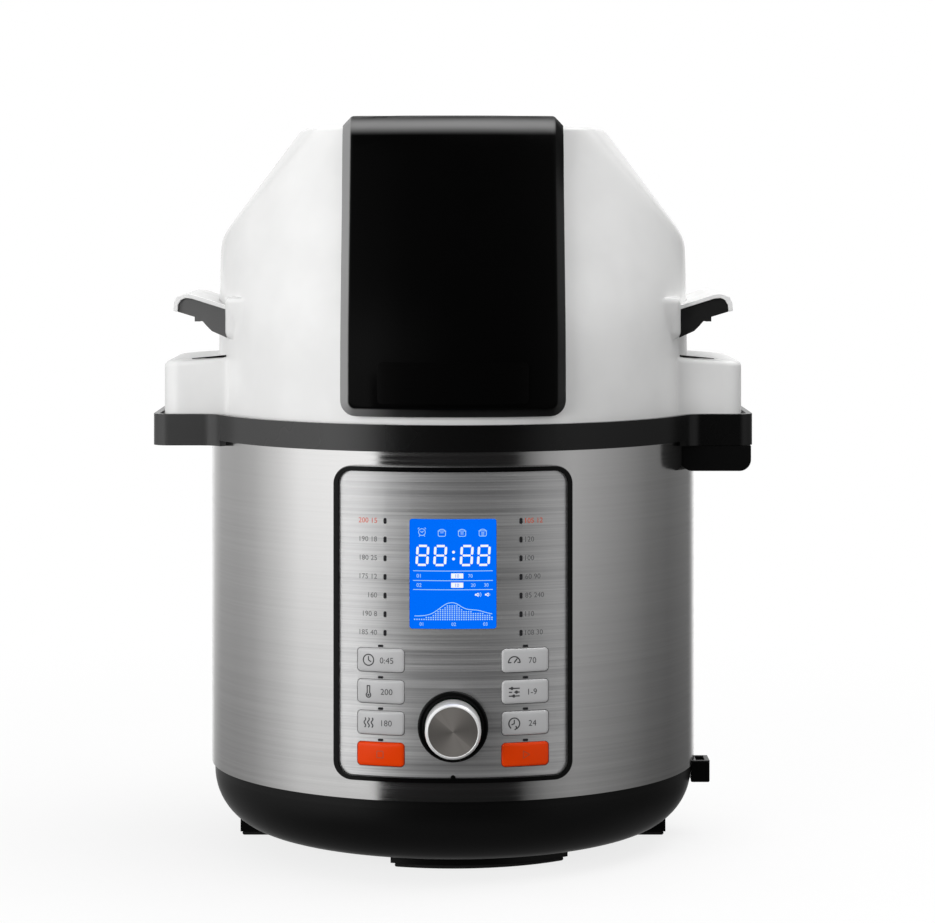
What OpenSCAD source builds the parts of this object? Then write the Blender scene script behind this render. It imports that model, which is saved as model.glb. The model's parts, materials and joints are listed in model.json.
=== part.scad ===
// Electric pressure cooker with its air-fry lid fitted. Units are millimetres.
// Z is up, the floor is at z = 0 and the control panel faces -Y. The cooker's axis is the Z axis.

/* [Body] */
// Outer radius of the steel body
body_r = 150; // [140:1:160]
// Wall thickness of the steel body
body_t = 1.2; // [0.8:0.1:2]
// Height of the steel body's lower edge
body_z0 = 48; // [44:1:54]
// Height of the steel body up to the rim ring
body_h = 201.5; // [190:0.5:215]
// Height of the rim ring
ring_h = 15.5; // [13.5:0.5:18]

/* [Base] */
// Height of the tray's underside above the floor
tray_z = 8; // [6:0.5:11]
// How far the tray stays inside the steel body's radius
tray_inset = 2; // [1:0.5:5]
// Radius of the tray's rounded lower edge
tray_round = 35; // [25:1:36]
// Wall thickness of the black mouldings
wall = 3; // [2:0.1:3.6]
// Thickness of the rubber foot pads
pad_h = 2.5; // [1.5:0.1:4]
// How far the front and rear foot blocks stay inside the steel body's radius
foot_inset = 43; // [38:1:50]
// Radial depth of the front foot block
foot_depth = 16; // [10:1:24]
// Angle that the front foot block spans
foot_span = 60; // [30:1:80]
// How far the front foot block is turned to the right
foot_turn = 9.8; // [0:0.2:15]
// Width of a side foot block
side_foot_w = 22; // [14:1:26]

/* [Rim ring] */
// How far the rim ring stands out past the steel body
ring_proud = 5; // [3:0.5:8]
// Height of the ring's outer lip above the surface that the lid rests on
lip_h = 4; // [2:0.5:6]
// Width of the outer lip
lip_w = 3.5; // [2.5:0.5:4.5]
// Reach of a carrying ear past the steel body
ear_reach = 32; // [28:1:38]
// Half length of a carrying ear along Y
ear_half = 58; // [52:1:64]
// Depth of a carrying ear's skirt below the ring
ear_drop = 3.5; // [2:0.5:6]
// Depth of the connector housing below the right ear
housing_h = 15.5; // [13:0.5:22]
// Corner radius of the ears
ear_corner = 10; // [6:1:14]

/* [Control panel] */
// Overall width of the panel frame
panel_w = 138.4; // [134:0.2:142]
// Height of the frame's lower edge above the steel body's lower edge
panel_rise = 11.8; // [8:0.1:16]
// Gap between the frame's top edge and the rim ring
panel_gap = 8.7; // [5:0.1:14]
// How far the frame stands out from the steel body
frame_proud = 5; // [4:0.5:7]
// Width of the frame's front edge
frame_w = 2.9; // [2:0.1:4]
// Outer corner radius of the frame
frame_corner = 10.5; // [8:0.5:13]
// Width of the display
display_w = 49.8; // [44:0.2:54]
// Height of the display
display_h = 62.8; // [56:0.2:66]
// Height of the display's lower edge above the centres of the top row of buttons
display_rise = 18.8; // [16:0.1:24]
// Width of a button
button_w = 28.2; // [24:0.2:29]
// Height of a button
button_h = 13.6; // [11:0.2:14]
// Corner radius of a button
button_corner = 2.4; // [1.5:0.1:3]
// Height of the lowest row of buttons above the frame's lower edge
button_rise = 15.45; // [14:0.05:18]
// Spacing of the button rows
button_pitch = 18.05; // [17.6:0.05:18.4]
// Angle of a button column round the body
button_angle = 15.8; // [15:0.1:16.2]
// Travel of a button
button_travel = 1; // [0.5:0.1:1.5]
// Angle of a lamp column round the body
lamp_angle = 14.8; // [13.5:0.1:16]
// Height of the lowest lamp above the centres of the top row of buttons
lamp_rise = 15.7; // [14:0.1:20]
// Spacing of the lamps
lamp_pitch = 10.75; // [10:0.05:10.8]
// Radius of the knob
knob_r = 16; // [13:0.2:17]
// Length of the knob
knob_len = 18; // [12:0.5:22]
// Outer radius of the knob's bezel ring
bezel_r = 20.3; // [18.5:0.1:21.5]
// Height of the knob's axis above the frame's lower edge
knob_rise = 32.3; // [26:0.1:38]

/* [Cooking vessel] */
// Space round the inner pot, inside the steel body's outer face
pot_space = 39; // [37:0.5:44]
// Wall thickness of the inner pot
pot_t = 1.2; // [1:0.1:2]
// Height of the inner pot, from its underside to its rim
pot_h = 154.4; // [140:0.2:165]
// Corner radius of the pot's floor
pot_round = 16; // [12:1:24]
// How far the heating plate stays inside the pot's radius
plate_inset = 16; // [12:0.5:24]
// Space round the air-fry basket inside the pot's outer radius
basket_space = 7; // [5:0.5:12]
// Height of the air-fry basket
basket_h = 66; // [50:1:80]
// Wall thickness of the basket
basket_t = 1.4; // [1:0.1:2]
// Height of the basket's floor above the pot's underside
basket_rise = 5; // [4:0.5:12]
// Radius of a hole in the basket's floor
basket_hole = 3.2; // [2:0.1:4]
// Spacing of the rings of holes in the basket's floor
basket_pitch = 17; // [14:0.5:19]
// Radius of the sensor plunger's cap
sensor_r = 12; // [9:0.5:14]
// Travel of the sensor plunger
sensor_travel = 3; // [2:0.5:4]
// Width of the supply board
supply_w = 140; // [110:1:150]
// Depth of the supply board
supply_d = 74; // [66:1:80]
// Height of the chamber's underside above the supply board
supply_drop = 36; // [30:1:44]

/* [Lid] */
// How far the lid's wall stays inside the steel body's radius
lid_inset = 3.5; // [2.5:0.5:4.5]
// Height of the lid's flat top above the surface that the lid rests on
lid_h = 177.5; // [165:0.5:190]
// Draft of the lid's wall
lid_draft = 1; // [0.5:0.1:2]
// Height of the side shoulders' start above the surface that the lid rests on
shoulder_h = 106; // [94:1:114]
// Half width of the flat top between the shoulders
shoulder_x = 101; // [92:1:108]
// Height above the lid's seat where the front starts to lean back at the middle
lean_h = 57; // [49:1:64]
// Angle by which the front leans back
lean_angle = 20; // [16:1:23]
// Horizontal radius of the leaning front
lean_r = 158; // [154:1:170]
// Wall thickness of the lid housing
lid_t = 3; // [2:0.1:3.4]
// Reach of a lid ear past the steel body
lid_ear_reach = 26; // [24:0.5:27]
// Half length of a lid ear along Y
lid_ear_half = 51; // [46:1:53]
// Height of a lid ear above the surface that the lid rests on
lid_ear_h = 35; // [31:1:38]
// Half length of the wing handles along Y
wing_half = 51; // [44:1:54]
// Height of the wing handles' lower root edge above the lid's seat
wing_h = 50; // [46:0.5:56]
// Thickness of the white wing covers
cover_t = 2.6; // [1.5:0.1:3]
// Half width of the black fascia
fascia_x = 65.4; // [60:0.2:70]
// How far the fascia stands out from the lid's wall
fascia_proud = 15.5; // [12:0.5:17]
// How far the fascia stands above the lid's flat top
fascia_rise = 6; // [3:0.5:9]
// Height of the fascia's lower edge above the lid's seat
fascia_h = 8.3; // [6:0.1:13]
// Width of the bare field at the fascia's foot
insert_w = 87; // [70:1:100]
// Height of the bare field at the fascia's foot
insert_h = 24; // [16:0.5:30]
// Width of the air outlet at the rear
outlet_w = 96; // [80:1:104]
// Height of the air outlet at the rear
outlet_h = 60; // [44:1:66]
// Depth of the air outlet's centre below the lid's flat top
outlet_drop = 66.5; // [58:0.5:74]
// Spacing of the outlet's upright slots
slot_pitch = 7.6; // [6.4:0.1:8]
// Width of the outlet's upright slots
slot_w = 4; // [3:0.1:5]

/* [Air fryer] */
// Height of the heat shield
shield_h = 50; // [46:1:56]
// Wall thickness of the heat shield
shield_t = 0.8; // [0.6:0.1:1.2]
// Radius of the outer heating coil
coil_r = 78; // [72:1:84]
// Spacing of the two heating coils
coil_step = 28; // [22:1:34]
// Radius of the heating coil's rod
coil_rod = 3.2; // [2.5:0.1:4]
// Spacing of the coil guard's rings
guard_pitch = 22; // [18:0.5:24]
// Radius of the coil guard's wire
guard_rod = 1.3; // [1:0.1:1.6]
// Radius of the hot air fan
hot_fan_r = 68; // [60:1:76]
// Depth of the hot air fan's blades
hot_blade = 14; // [10:0.5:16]
// Radius of the cooling fan
cool_fan_r = 60; // [50:1:66]
// Depth of the cooling fan's blades
cool_blade = 12; // [8:0.5:14]
// Radius of the fan shaft
shaft_r = 4; // [3:0.1:5]
// Radius of the motor
motor_r = 33; // [28:1:38]
// Height of the motor's case
motor_h = 34; // [28:1:38]
// Radius of the motor's bracket
bracket_r = 62; // [54:1:70]
// Height of the motor's bracket above the heat shield
bracket_h = 16; // [12:1:20]

/* [Rear] */
// Height of the mains inlet above the steel body's lower edge
inlet_rise = 28; // [24:1:60]
// Width of the mains inlet's cut-out
inlet_w = 32; // [28:0.5:36]
// Height of the mains inlet's cut-out
inlet_h = 26; // [22:0.5:30]
// Width of the condensate cup
cup_w = 46; // [38:1:56]
// Depth of the condensate cup
cup_d = 21; // [16:0.5:26]
// Height of the condensate cup
cup_h = 58; // [44:1:70]
// Wall thickness of the condensate cup
cup_t = 1.8; // [1.2:0.1:2.4]
// Depth of the condensate cup's top below the rim ring
cup_drop = 9.5; // [8:0.1:14]

/* [Hidden] */
$fn = 64;
fit = 0.05;
gap = 0.3;
ring_z0 = body_z0 + body_h;
ring_z1 = ring_z0 + ring_h;
seat_z = ring_z1 - lip_h;
deck_t = wall;
deck_z = seat_z - deck_t;
tray_r = body_r - tray_inset;
foot_r = body_r - foot_inset;
screw_r = tray_r - 70;
ring_r = body_r + ring_proud;
ear_x = body_r + ear_reach;
ear_z = ring_z0 - ear_drop;
panel_r = body_r + frame_proud;
panel_z0 = body_z0 + panel_rise;
panel_h = body_h - panel_rise - panel_gap;
panel_z = panel_z0 + panel_h / 2;
knob_z = panel_z0 + knob_rise;
button_z = panel_z0 + button_rise + 3 * button_pitch;
lamp_z = button_z + lamp_rise + 6 * lamp_pitch;
display_z = button_z + display_rise + display_h / 2;
plate_out = panel_r - 1.8;
plate_in = plate_out - 1.6;
plate_w = panel_w - 2 * frame_w;
plate_h = panel_h - 2 * frame_w;
plate_corner = frame_corner - frame_w;
board_y = body_r - 24;
guide_r = body_r - 14;
button_in = body_r - 9;
button_out = panel_r - 0.6;
knob_y0 = panel_r - 0.5;
knob_y1 = knob_y0 + knob_len;
bezel_in = knob_r + 0.6;
bezel_y = panel_r + 1;
pot_r = body_r - pot_space;
basket_r = pot_r - basket_space;
plate_r = pot_r - plate_inset;
chamber_r = pot_r + 3.5;
chamber_t = 1.2;
flange_z = deck_z - 2;
collar_r = chamber_r + 12.5;
bore_r = collar_r + 1.2 + gap;
rim_z = flange_z + chamber_t + 2.2;
pot_z = rim_z - pot_h;
chamber_z = pot_z - 9;
plate_top = pot_z - 0.1;
basket_foot = pot_z + pot_t + fit;
supply_y = 20;
supply_z = chamber_z - supply_drop;
lid_r = body_r - lid_inset;
lid_top = seat_z + lid_h;
shoulder_z = seat_z + shoulder_h;
lean_z = seat_z + lean_h;
wing_z = seat_z + wing_h;
fascia_z = seat_z + fascia_h;
outlet_z = lid_top - outlet_drop;
draft_k = tan(lid_draft);
lid_ear_x = body_r + lid_ear_reach;
lid_ear_z = seat_z + lid_ear_h;
under_z = seat_z + 4;
shield_z = under_z + 3;
shield_r = chamber_r - 2.5;
shield_top = shield_z + shield_h;
probe_x = coil_r + 16;
coil_z = shield_z + 14;
hot_z = coil_z + 10;
motor_z = shield_top + bracket_h;
cool_z = motor_z + motor_h + 15;
wing_x = lid_r - 9;
socket_x = body_r + 15;
cup_y = body_r + 3;
cup_z = ring_z0 - cup_drop - cup_h;
inlet_z = body_z0 + inlet_rise;
rows = [0, 1, 2, 3];
lamps = [0, 1, 2, 3, 4, 5, 6];

// ---- shared shapes

module rounded_rect(w, h, r) {
    union() {
        square([w - 2 * r, h], center = true);
        square([w, h - 2 * r], center = true);
        for (x = [-1, 1], y = [-1, 1])
            translate([x * (w / 2 - r), y * (h / 2 - r)]) circle(r = r);
    }
}

module tube(ro, ri, h) {
    difference() {
        cylinder(r = ro, h = h);
        translate([0, 0, -1]) cylinder(r = ri, h = h + 2);
    }
}

// Stands its children on the front of the body, at angle a round it and at height z.
module round_body(a, z) {
    rotate([0, 0, a]) translate([0, 0, z]) rotate([90, 0, 0]) children();
}

// A block through the front of the body, from radius r0 to r1.
module front_block(w, h, r, z, r0, r1) {
    round_body(0, z) translate([0, 0, r0]) linear_extrude(height = r1 - r0) rounded_rect(w, h, r);
}

// Plan of one ear: x is its reach, h its half length, c its corners and f the fillet at its root.
module ear_plan(r, x, h, c, f) {
    fx = sqrt(pow(r + f, 2) - pow(h + f, 2));
    k = r / (r + f);
    union() {
        translate([r / 2, -h]) square([x - c - r / 2, 2 * h]);
        translate([r / 2, c - h]) square([x - r / 2, 2 * (h - c)]);
        for (s = [-1, 1]) {
            translate([x - c, s * (h - c)]) circle(r = c);
            difference() {
                polygon([[r / 2, 0], [fx * k, s * (h + f) * k], [fx, s * (h + f)], [fx, 0]]);
                translate([fx, s * (h + f)]) circle(r = f);
            }
        }
    }
}

module ring_plan(r, x, h, c, f) {
    union() {
        circle(r = r);
        ear_plan(r, x, h, c, f);
        mirror([1, 0]) ear_plan(r, x, h, c, f);
    }
}

// Half profile of a pan: outer radius r, foot radius c, from z0 up to z1.
module pan_profile(r, c, z0, z1) {
    union() {
        translate([0, z0]) square([r - c, z1 - z0]);
        translate([0, z0 + c]) square([r, z1 - z0 - c]);
        intersection() {
            translate([r - c, z0 + c]) circle(r = c);
            translate([0, z0]) square([r, c + 1]);
        }
    }
}

// ---- base

module foot_block(r, depth, span, turn, z0, z1) {
    rotate([0, 0, turn - span / 2 - 90]) translate([0, 0, z0])
        rotate_extrude(angle = span) translate([r - depth, 0]) square([depth, z1 - z0]);
}

module side_foot(inset, z0, z1) {
    translate([tray_r - 16 - side_foot_w + inset, -10 + inset, z0])
        cube([side_foot_w - 2 * inset, 20 - 2 * inset, z1 - z0]);
}

module screw_spots() {
    for (a = [55, 140, 235, 320])
        rotate([0, 0, a]) translate([screw_r, 0, 0]) children();
}

module supply_spots() {
    for (x = [-1, 1], y = [10, supply_d - 10])
        translate([x * (supply_w / 2 - 10), supply_y + y, 0]) children();
}

module base_tray() {
    color("#161616")
    difference() {
        union() {
            difference() {
                rotate_extrude() pan_profile(tray_r, tray_round, tray_z, body_z0);
                rotate_extrude()
                    pan_profile(tray_r - wall, tray_round - wall, tray_z + wall, body_z0 + 1);
            }
            translate([0, 0, body_z0 - 1]) tube(body_r - body_t - gap, tray_r - wall, 6);
            for (a = [0, 180])
                foot_block(foot_r, foot_depth, foot_span, foot_turn + a, pad_h, tray_z + wall + 2);
            side_foot(0, pad_h, tray_z + 8);
            mirror([1, 0, 0]) side_foot(0, pad_h, tray_z + 8);
            supply_spots() translate([0, 0, tray_z + 1]) cylinder(r = 4, h = supply_z - tray_z - 1);
            screw_spots() translate([0, 0, tray_z + 1]) cylinder(r = 5, h = 16);
        }
        screw_spots() translate([0, 0, tray_z - 1]) cylinder(r = 2.1, h = 15);
        for (x = [-24:8:24]) translate([x - 1.5, -60, tray_z - 1]) cube([3, 34, wall + 2]);
    }
}

module foot_pad_front() {
    color("#0c0c0c")
    foot_block(foot_r - 1, foot_depth - 2, foot_span - 2, foot_turn, 0, pad_h);
}

module foot_pad_rear() {
    color("#0c0c0c")
    foot_block(foot_r - 1, foot_depth - 2, foot_span - 2, foot_turn + 180, 0, pad_h);
}

module foot_pad_left() {
    color("#0c0c0c")
    mirror([1, 0, 0]) side_foot(1, 0, pad_h);
}

module foot_pad_right() {
    color("#0c0c0c")
    side_foot(1, 0, pad_h);
}

module tray_screws() {
    color("#8a8c90")
    screw_spots() difference() {
        union() {
            translate([0, 0, tray_z - 2]) cylinder(r = 4, h = 2);
            translate([0, 0, tray_z - 1]) cylinder(r = 2, h = 14);
        }
        translate([-2.5, -0.5, tray_z - 3]) cube([5, 1, 1.8]);
        translate([-0.5, -2.5, tray_z - 3]) cube([1, 5, 1.8]);
    }
}

module outer_shell() {
    color("#b9bbbd")
    difference() {
        translate([0, 0, body_z0]) tube(body_r, body_r - body_t, deck_z - body_z0 - 0.2);
        front_block(panel_w - 8.4, panel_h - 9, 5, panel_z, body_r - 40, body_r + 10);
        translate([0, body_r + 10, inlet_z]) rotate([90, 0, 0])
            linear_extrude(height = 40) rounded_rect(inlet_w, inlet_h, 2);
        translate([ear_x - 60, -30, ring_z0 - housing_h]) cube([60, 60, housing_h + 20]);
    }
}

module rim_ring() {
    c = ear_corner;
    color("#141414")
    difference() {
        union() {
            translate([0, 0, ring_z0]) cylinder(r = ring_r, h = ring_z1 - ring_z0);
            translate([0, 0, ear_z]) linear_extrude(height = ring_z1 - ear_z) {
                ear_plan(ring_r, ear_x, ear_half, c, 12);
                mirror([1, 0]) ear_plan(ring_r, ear_x, ear_half, c, 12);
            }
        }
        // the surface inside the lip that the lid rests on
        translate([0, 0, seat_z]) linear_extrude(height = lip_h + 1)
            ring_plan(ring_r - lip_w, ear_x - lip_w, ear_half - lip_w, c - lip_w, 12 + lip_w);
        // the hollow under the deck, and the room for the steel body
        translate([0, 0, ear_z - 1]) cylinder(r = body_r + 0.1, h = deck_z - ear_z + 1);
        translate([0, 0, ear_z - 1]) linear_extrude(height = deck_z - ear_z + 1) {
            translate([body_r - 6, wall - ear_half]) square([ear_reach + 6 - wall, 2 * (ear_half - wall)]);
            mirror([1, 0]) translate([body_r - 6, wall - ear_half])
                square([ear_reach + 6 - wall, 2 * (ear_half - wall)]);
        }
        translate([0, 0, deck_z - 1]) cylinder(r = bore_r, h = 20);
        translate([socket_x - 8 - gap, -20 - gap, deck_z - 1]) cube([16 + 2 * gap, 40 + 2 * gap, 10]);
    }
}

module connector_housing() {
    h = housing_h;
    x0 = body_r - 12;
    x1 = ear_x - 1.5;
    z0 = ear_z - h;
    r = 7;
    color("#101010")
    difference() {
        intersection() {
            translate([0, ear_half + 5, 0]) rotate([90, 0, 0])
                linear_extrude(height = 2 * ear_half + 10) union() {
                    translate([x0 + r, z0]) square([x1 - x0 - 2 * r, h - 0.2]);
                    translate([x0, z0 + r]) square([x1 - x0, h - r - 0.2]);
                    for (x = [x0 + r, x1 - r])
                        translate([x, z0 + r]) circle(r = r);
                }
            translate([0, 0, z0 - 1]) linear_extrude(height = h + 2)
                translate([x0 - 10, 0]) translate([(x1 - x0 + 20) / 2, 0])
                    rounded_rect(x1 - x0 + 20, 2 * ear_half - 1, ear_corner);
        }
        translate([0, 0, z0 - 1]) cylinder(r = body_r + 0.1, h = h + 2);
        translate([body_r + 3, 3.5 - ear_half, z0 + 2.5]) cube([x1 - body_r - 5.5, 2 * ear_half - 7, h]);
    }
}

module pin_spots() {
    for (y = [-12, 0, 12]) translate([socket_x, y, 0]) children();
}

module connector_socket() {
    color("#1c1c1c")
    difference() {
        union() {
            translate([socket_x - 8, -20, seat_z - 22]) cube([16, 40, 22]);
            translate([socket_x - 10, -24, seat_z - 22]) cube([20, 48, 3]);
        }
        pin_spots() translate([0, 0, seat_z - 20]) cylinder(r = 2.6, h = 22);
    }
}

module spoon_bracket() {
    z0 = body_z0 - 15;
    color("#111111")
    difference() {
        translate([tray_r - 6, -10, z0]) cube([17.5, 20, 13.5]);
        translate([0, 0, tray_z]) cylinder(r = tray_r + 0.2, h = body_z0 - tray_z);
        translate([tray_r + 3.5, -7, z0 - 1]) cube([5, 14, 16]);
    }
}

module mains_inlet() {
    y1 = body_r + 3;
    color("#181818")
    union() {
        difference() {
            union() {
                translate([0, y1 - 3, inlet_z]) rotate([90, 0, 0])
                    linear_extrude(height = 20) rounded_rect(inlet_w - 0.6, inlet_h - 0.6, 2);
                difference() {
                    translate([0, y1, inlet_z]) rotate([90, 0, 0])
                        linear_extrude(height = 8) rounded_rect(inlet_w + 8, inlet_h + 7, 3);
                    cylinder(r = body_r + 0.1, h = ring_z0);
                }
            }
            translate([0, y1 + 1, inlet_z]) rotate([90, 0, 0])
                linear_extrude(height = 18) rounded_rect(inlet_w - 9, inlet_h - 10, 3);
        }
        for (x = [-7, 0, 7])
            translate([x - 1, y1 - 18, inlet_z - 2 + (x == 0 ? 3 : -2)]) cube([2, 14, 4]);
    }
}

module cup_bracket() {
    z = cup_z + cup_h;
    x = cup_w / 2;
    color("#161616")
    difference() {
        union() {
            translate([-x - 5.5, body_r - 6, z + 0.8]) cube([2 * x + 11, cup_d + 4, 2.2]);
            for (s = [0, 1]) mirror([s, 0, 0]) {
                translate([x + 3, body_r - 6, z - 6]) cube([2.5, cup_d + 4, 9]);
                translate([x + 0.8, body_r - 6, z - 6]) cube([4.7, cup_d + 4, 3.2]);
            }
        }
        translate([0, 0, z - 40]) cylinder(r = body_r + 0.1, h = 60);
    }
}

module condensate_cup() {
    color("#bfc4c8")
    difference() {
        union() {
            translate([0, cup_y + cup_d / 2, cup_z]) linear_extrude(height = cup_h)
                rounded_rect(cup_w, cup_d, 4);
            translate([-cup_w / 2 - 2.5, cup_y + 0.5, cup_z + cup_h - 2.4])
                cube([cup_w + 5, cup_d - 3, 2.4]);
        }
        translate([0, cup_y + cup_d / 2, cup_z + 2]) linear_extrude(height = cup_h)
            rounded_rect(cup_w - 2 * cup_t, cup_d - 2 * cup_t, 2.5);
    }
}

// ---- control panel

module panel_frame() {
    color("#0b0b0b")
    union() {
        intersection() {
            translate([0, 0, panel_z - panel_h]) tube(panel_r, body_r + 0.1, 2 * panel_h);
            difference() {
                front_block(panel_w, panel_h, frame_corner, panel_z, body_r / 2, panel_r + 5);
                front_block(plate_w + 0.4, plate_h + 0.4, plate_corner + 0.2, panel_z, body_r / 2 - 1,
                    panel_r + 6);
            }
        }
        intersection() {
            translate([0, 0, panel_z - panel_h]) tube(plate_in - 0.05, body_r + 0.1, 2 * panel_h);
            difference() {
                front_block(panel_w - 1, panel_h - 1, frame_corner - 0.5, panel_z, body_r / 2,
                    panel_r + 5);
                front_block(panel_w - 17, panel_h - 17, 3, panel_z, body_r / 2 - 1, panel_r + 6);
            }
        }
        intersection() {
            translate([0, 0, panel_z - panel_h]) tube(body_r + 0.6, body_r - 5, 2 * panel_h);
            difference() {
                front_block(panel_w - 9, panel_h - 9.6, 4.7, panel_z, body_r / 2, panel_r + 5);
                front_block(panel_w - 17, panel_h - 17, 3, panel_z, body_r / 2 - 1, panel_r + 6);
            }
        }
    }
}

module button_openings(grow) {
    for (a = [-button_angle, button_angle], i = rows)
        round_body(a, button_z - i * button_pitch) translate([0, 0, body_r / 2])
            linear_extrude(height = body_r)
                rounded_rect(button_w + grow, button_h + grow, button_corner + grow / 2);
}

// The seven lamp slots of one column, and the pill lamp over each button.
module lamp_shapes(a, s, grow, r0, r1) {
    for (i = lamps)
        round_body(s * a, lamp_z - i * lamp_pitch) translate([0, 0, r0])
            linear_extrude(height = r1 - r0) rounded_rect(1.7 + grow, 3.3 + grow, 0.8);
    for (i = rows)
        round_body(s * button_angle, button_z + button_pitch / 2 - 0.87 - i * button_pitch)
            translate([0, 0, r0]) linear_extrude(height = r1 - r0)
                rounded_rect(3.1 + grow, 1.3 + grow, 0.6);
}

module panel_plate() {
    color("#9fa2a4")
    difference() {
        intersection() {
            translate([0, 0, panel_z - panel_h]) tube(plate_out, plate_in, 2 * panel_h);
            front_block(plate_w, plate_h, plate_corner, panel_z, body_r / 2, panel_r + 5);
        }
        front_block(display_w + 0.3, display_h + 0.3, 1.6, display_z, body_r / 2, panel_r + 5);
        button_openings(0.6);
        lamp_shapes(lamp_angle, -1, 0.2, body_r / 2, panel_r + 5);
        lamp_shapes(lamp_angle, 1, 0.2, body_r / 2, panel_r + 5);
        round_body(0, knob_z) cylinder(r = bezel_r - 3, h = panel_r + 5);
    }
}

module display_window() {
    color("#1b6cf2")
    intersection() {
        translate([0, 0, panel_z - panel_h]) tube(plate_out + 0.1, plate_in, 2 * panel_h);
        front_block(display_w, display_h, 1.5, display_z, body_r / 2, panel_r + 5);
    }
}

module display_module() {
    y = plate_in * cos(asin((display_w / 2 + 1) / plate_in)) - 1;
    color("#202225")
    union() {
        translate([-display_w / 2 - 1, -y, display_z - display_h / 2 - 1])
            cube([display_w + 2, 5, display_h + 2]);
        for (x = [-20, 20], z = [-22, 22]) translate([x - 2, -y + 4, display_z + z - 2])
            cube([4, y - board_y - 5.65, 4]);
    }
}

module control_board() {
    color("#1e5a34")
    union() {
        translate([13.2 - panel_w / 2, -board_y - 1.6, panel_z0 + 12.5])
            cube([panel_w - 26.4, 1.6, panel_h - 25]);
        translate([-14, -board_y, display_z - 12]) cube([28, 3, 20]);
        for (x = [-40, -28, 28, 40]) translate([x - 4, -board_y, knob_z - 18]) cube([8, 2.4, 8]);
    }
}

module light_guide(s) {
    union() {
        lamp_shapes(lamp_angle, s, 0, guide_r + 2, plate_out + 0.2);
        round_body(s * lamp_angle, (lamp_z + button_z) / 2 - button_pitch * 1.5 - 4)
            translate([-2, (button_z - lamp_z) / 2 - button_pitch * 1.5 + 3, guide_r])
                cube([6, lamp_z - button_z + 3 * button_pitch + 2, 3]);
    }
}

module light_guide_left() {
    color("#e9eef2") light_guide(-1);
}

module light_guide_right() {
    color("#e9eef2") light_guide(1);
}

module knob_bezel() {
    color("#0e0e0e")
    difference() {
        round_body(0, knob_z) translate([0, 0, body_r - 4]) cylinder(r = bezel_r, h = bezel_y - body_r + 4);
        cylinder(r = plate_out + 0.05, h = panel_z + panel_h, $fn = 240);
        round_body(0, knob_z) cylinder(r = bezel_in, h = panel_r + 20);
    }
}

module encoder() {
    color("#6d7074")
    difference() {
        union() {
            translate([-6.5, -board_y - 1.6 - 7, knob_z - 6.5]) cube([13, 7, 13]);
            round_body(0, knob_z) translate([0, 0, board_y + 8]) cylinder(r = 4.5, h = 8);
        }
        round_body(0, knob_z) translate([0, 0, board_y + 2.4]) cylinder(r = 3 + fit, h = 20);
    }
}

module knob() {
    color("#2a2a2c")
    union() {
        round_body(0, knob_z) translate([0, 0, knob_y0]) cylinder(r = knob_r, h = knob_len - 1.8);
        round_body(0, knob_z) translate([0, 0, knob_y1 - 1.8])
            cylinder(r1 = knob_r, r2 = knob_r - 1.7, h = 1.8);
        round_body(0, knob_z) translate([0, 0, board_y + 3]) cylinder(r = 3, h = knob_y0 - board_y);
    }
}

module button(a, i) {
    z = button_z - i * button_pitch;
    union() {
        intersection() {
            round_body(a, z) translate([0, 0, button_in + 2])
                linear_extrude(height = 30) rounded_rect(button_w, button_h, button_corner);
            translate([0, 0, z - 20]) cylinder(r = button_out, h = 40, $fn = 240);
        }
        round_body(a, z) translate([0, 0, button_in])
            linear_extrude(height = 6) rounded_rect(button_w + 2.6, button_h, button_corner);
    }
}

module button_left_1() {
    color("#bdbdbf") button(-button_angle, 0);
}

module button_left_2() {
    color("#bdbdbf") button(-button_angle, 1);
}

module button_left_3() {
    color("#bdbdbf") button(-button_angle, 2);
}

module button_left_4() {
    color("#e24309") button(-button_angle, 3);
}

module button_right_1() {
    color("#bdbdbf") button(button_angle, 0);
}

module button_right_2() {
    color("#bdbdbf") button(button_angle, 1);
}

module button_right_3() {
    color("#bdbdbf") button(button_angle, 2);
}

module button_right_4() {
    color("#e24309") button(button_angle, 3);
}

// ---- inside the base

module cooking_chamber() {
    r = chamber_r + chamber_t;
    color("#a5a8ab")
    union() {
        difference() {
            union() {
                rotate_extrude() pan_profile(r, 14, chamber_z, flange_z + chamber_t);
                translate([0, 0, flange_z]) cylinder(r = collar_r + 1.2, h = chamber_t);
            }
            rotate_extrude()
                pan_profile(chamber_r, 12.8, chamber_z + chamber_t, flange_z + chamber_t + 1);
            translate([0, 0, chamber_z - 1]) cylinder(r = plate_r + 1, h = 4);
        }
        translate([0, 0, flange_z]) tube(collar_r + 1.2, collar_r, seat_z + 2 - flange_z);
        for (a = [0:60:300]) rotate([0, 0, a - 10]) translate([0, 0, seat_z + 0.8])
            rotate_extrude(angle = 20) translate([collar_r - 6.5, 0]) square([7, 1.2]);
    }
}

module heating_plate() {
    color("#8e9194")
    difference() {
        union() {
            translate([0, 0, chamber_z + 1]) cylinder(r = plate_r, h = plate_top - chamber_z - 1);
            translate([0, 0, chamber_z]) rotate_extrude() translate([62, 0]) circle(r = 4.5);
            translate([0, 0, chamber_z - 20]) cylinder(r = sensor_r + 2, h = 22);
            for (a = [25, 155, 270]) rotate([0, 0, a]) translate([80, 0, chamber_z - 8])
                cylinder(r = 5, h = 10);
        }
        translate([0, 0, chamber_z - 18]) cylinder(r = sensor_r + 0.5, h = 40);
        translate([0, 0, chamber_z - 30]) cylinder(r = 4 + fit, h = 40);
    }
}

module sensor_plunger() {
    color("#c9cbce")
    union() {
        translate([0, 0, plate_top - 6]) cylinder(r = sensor_r, h = 6);
        translate([0, 0, chamber_z - 25]) cylinder(r = 4, h = plate_top - chamber_z + 22);
    }
}

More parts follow.
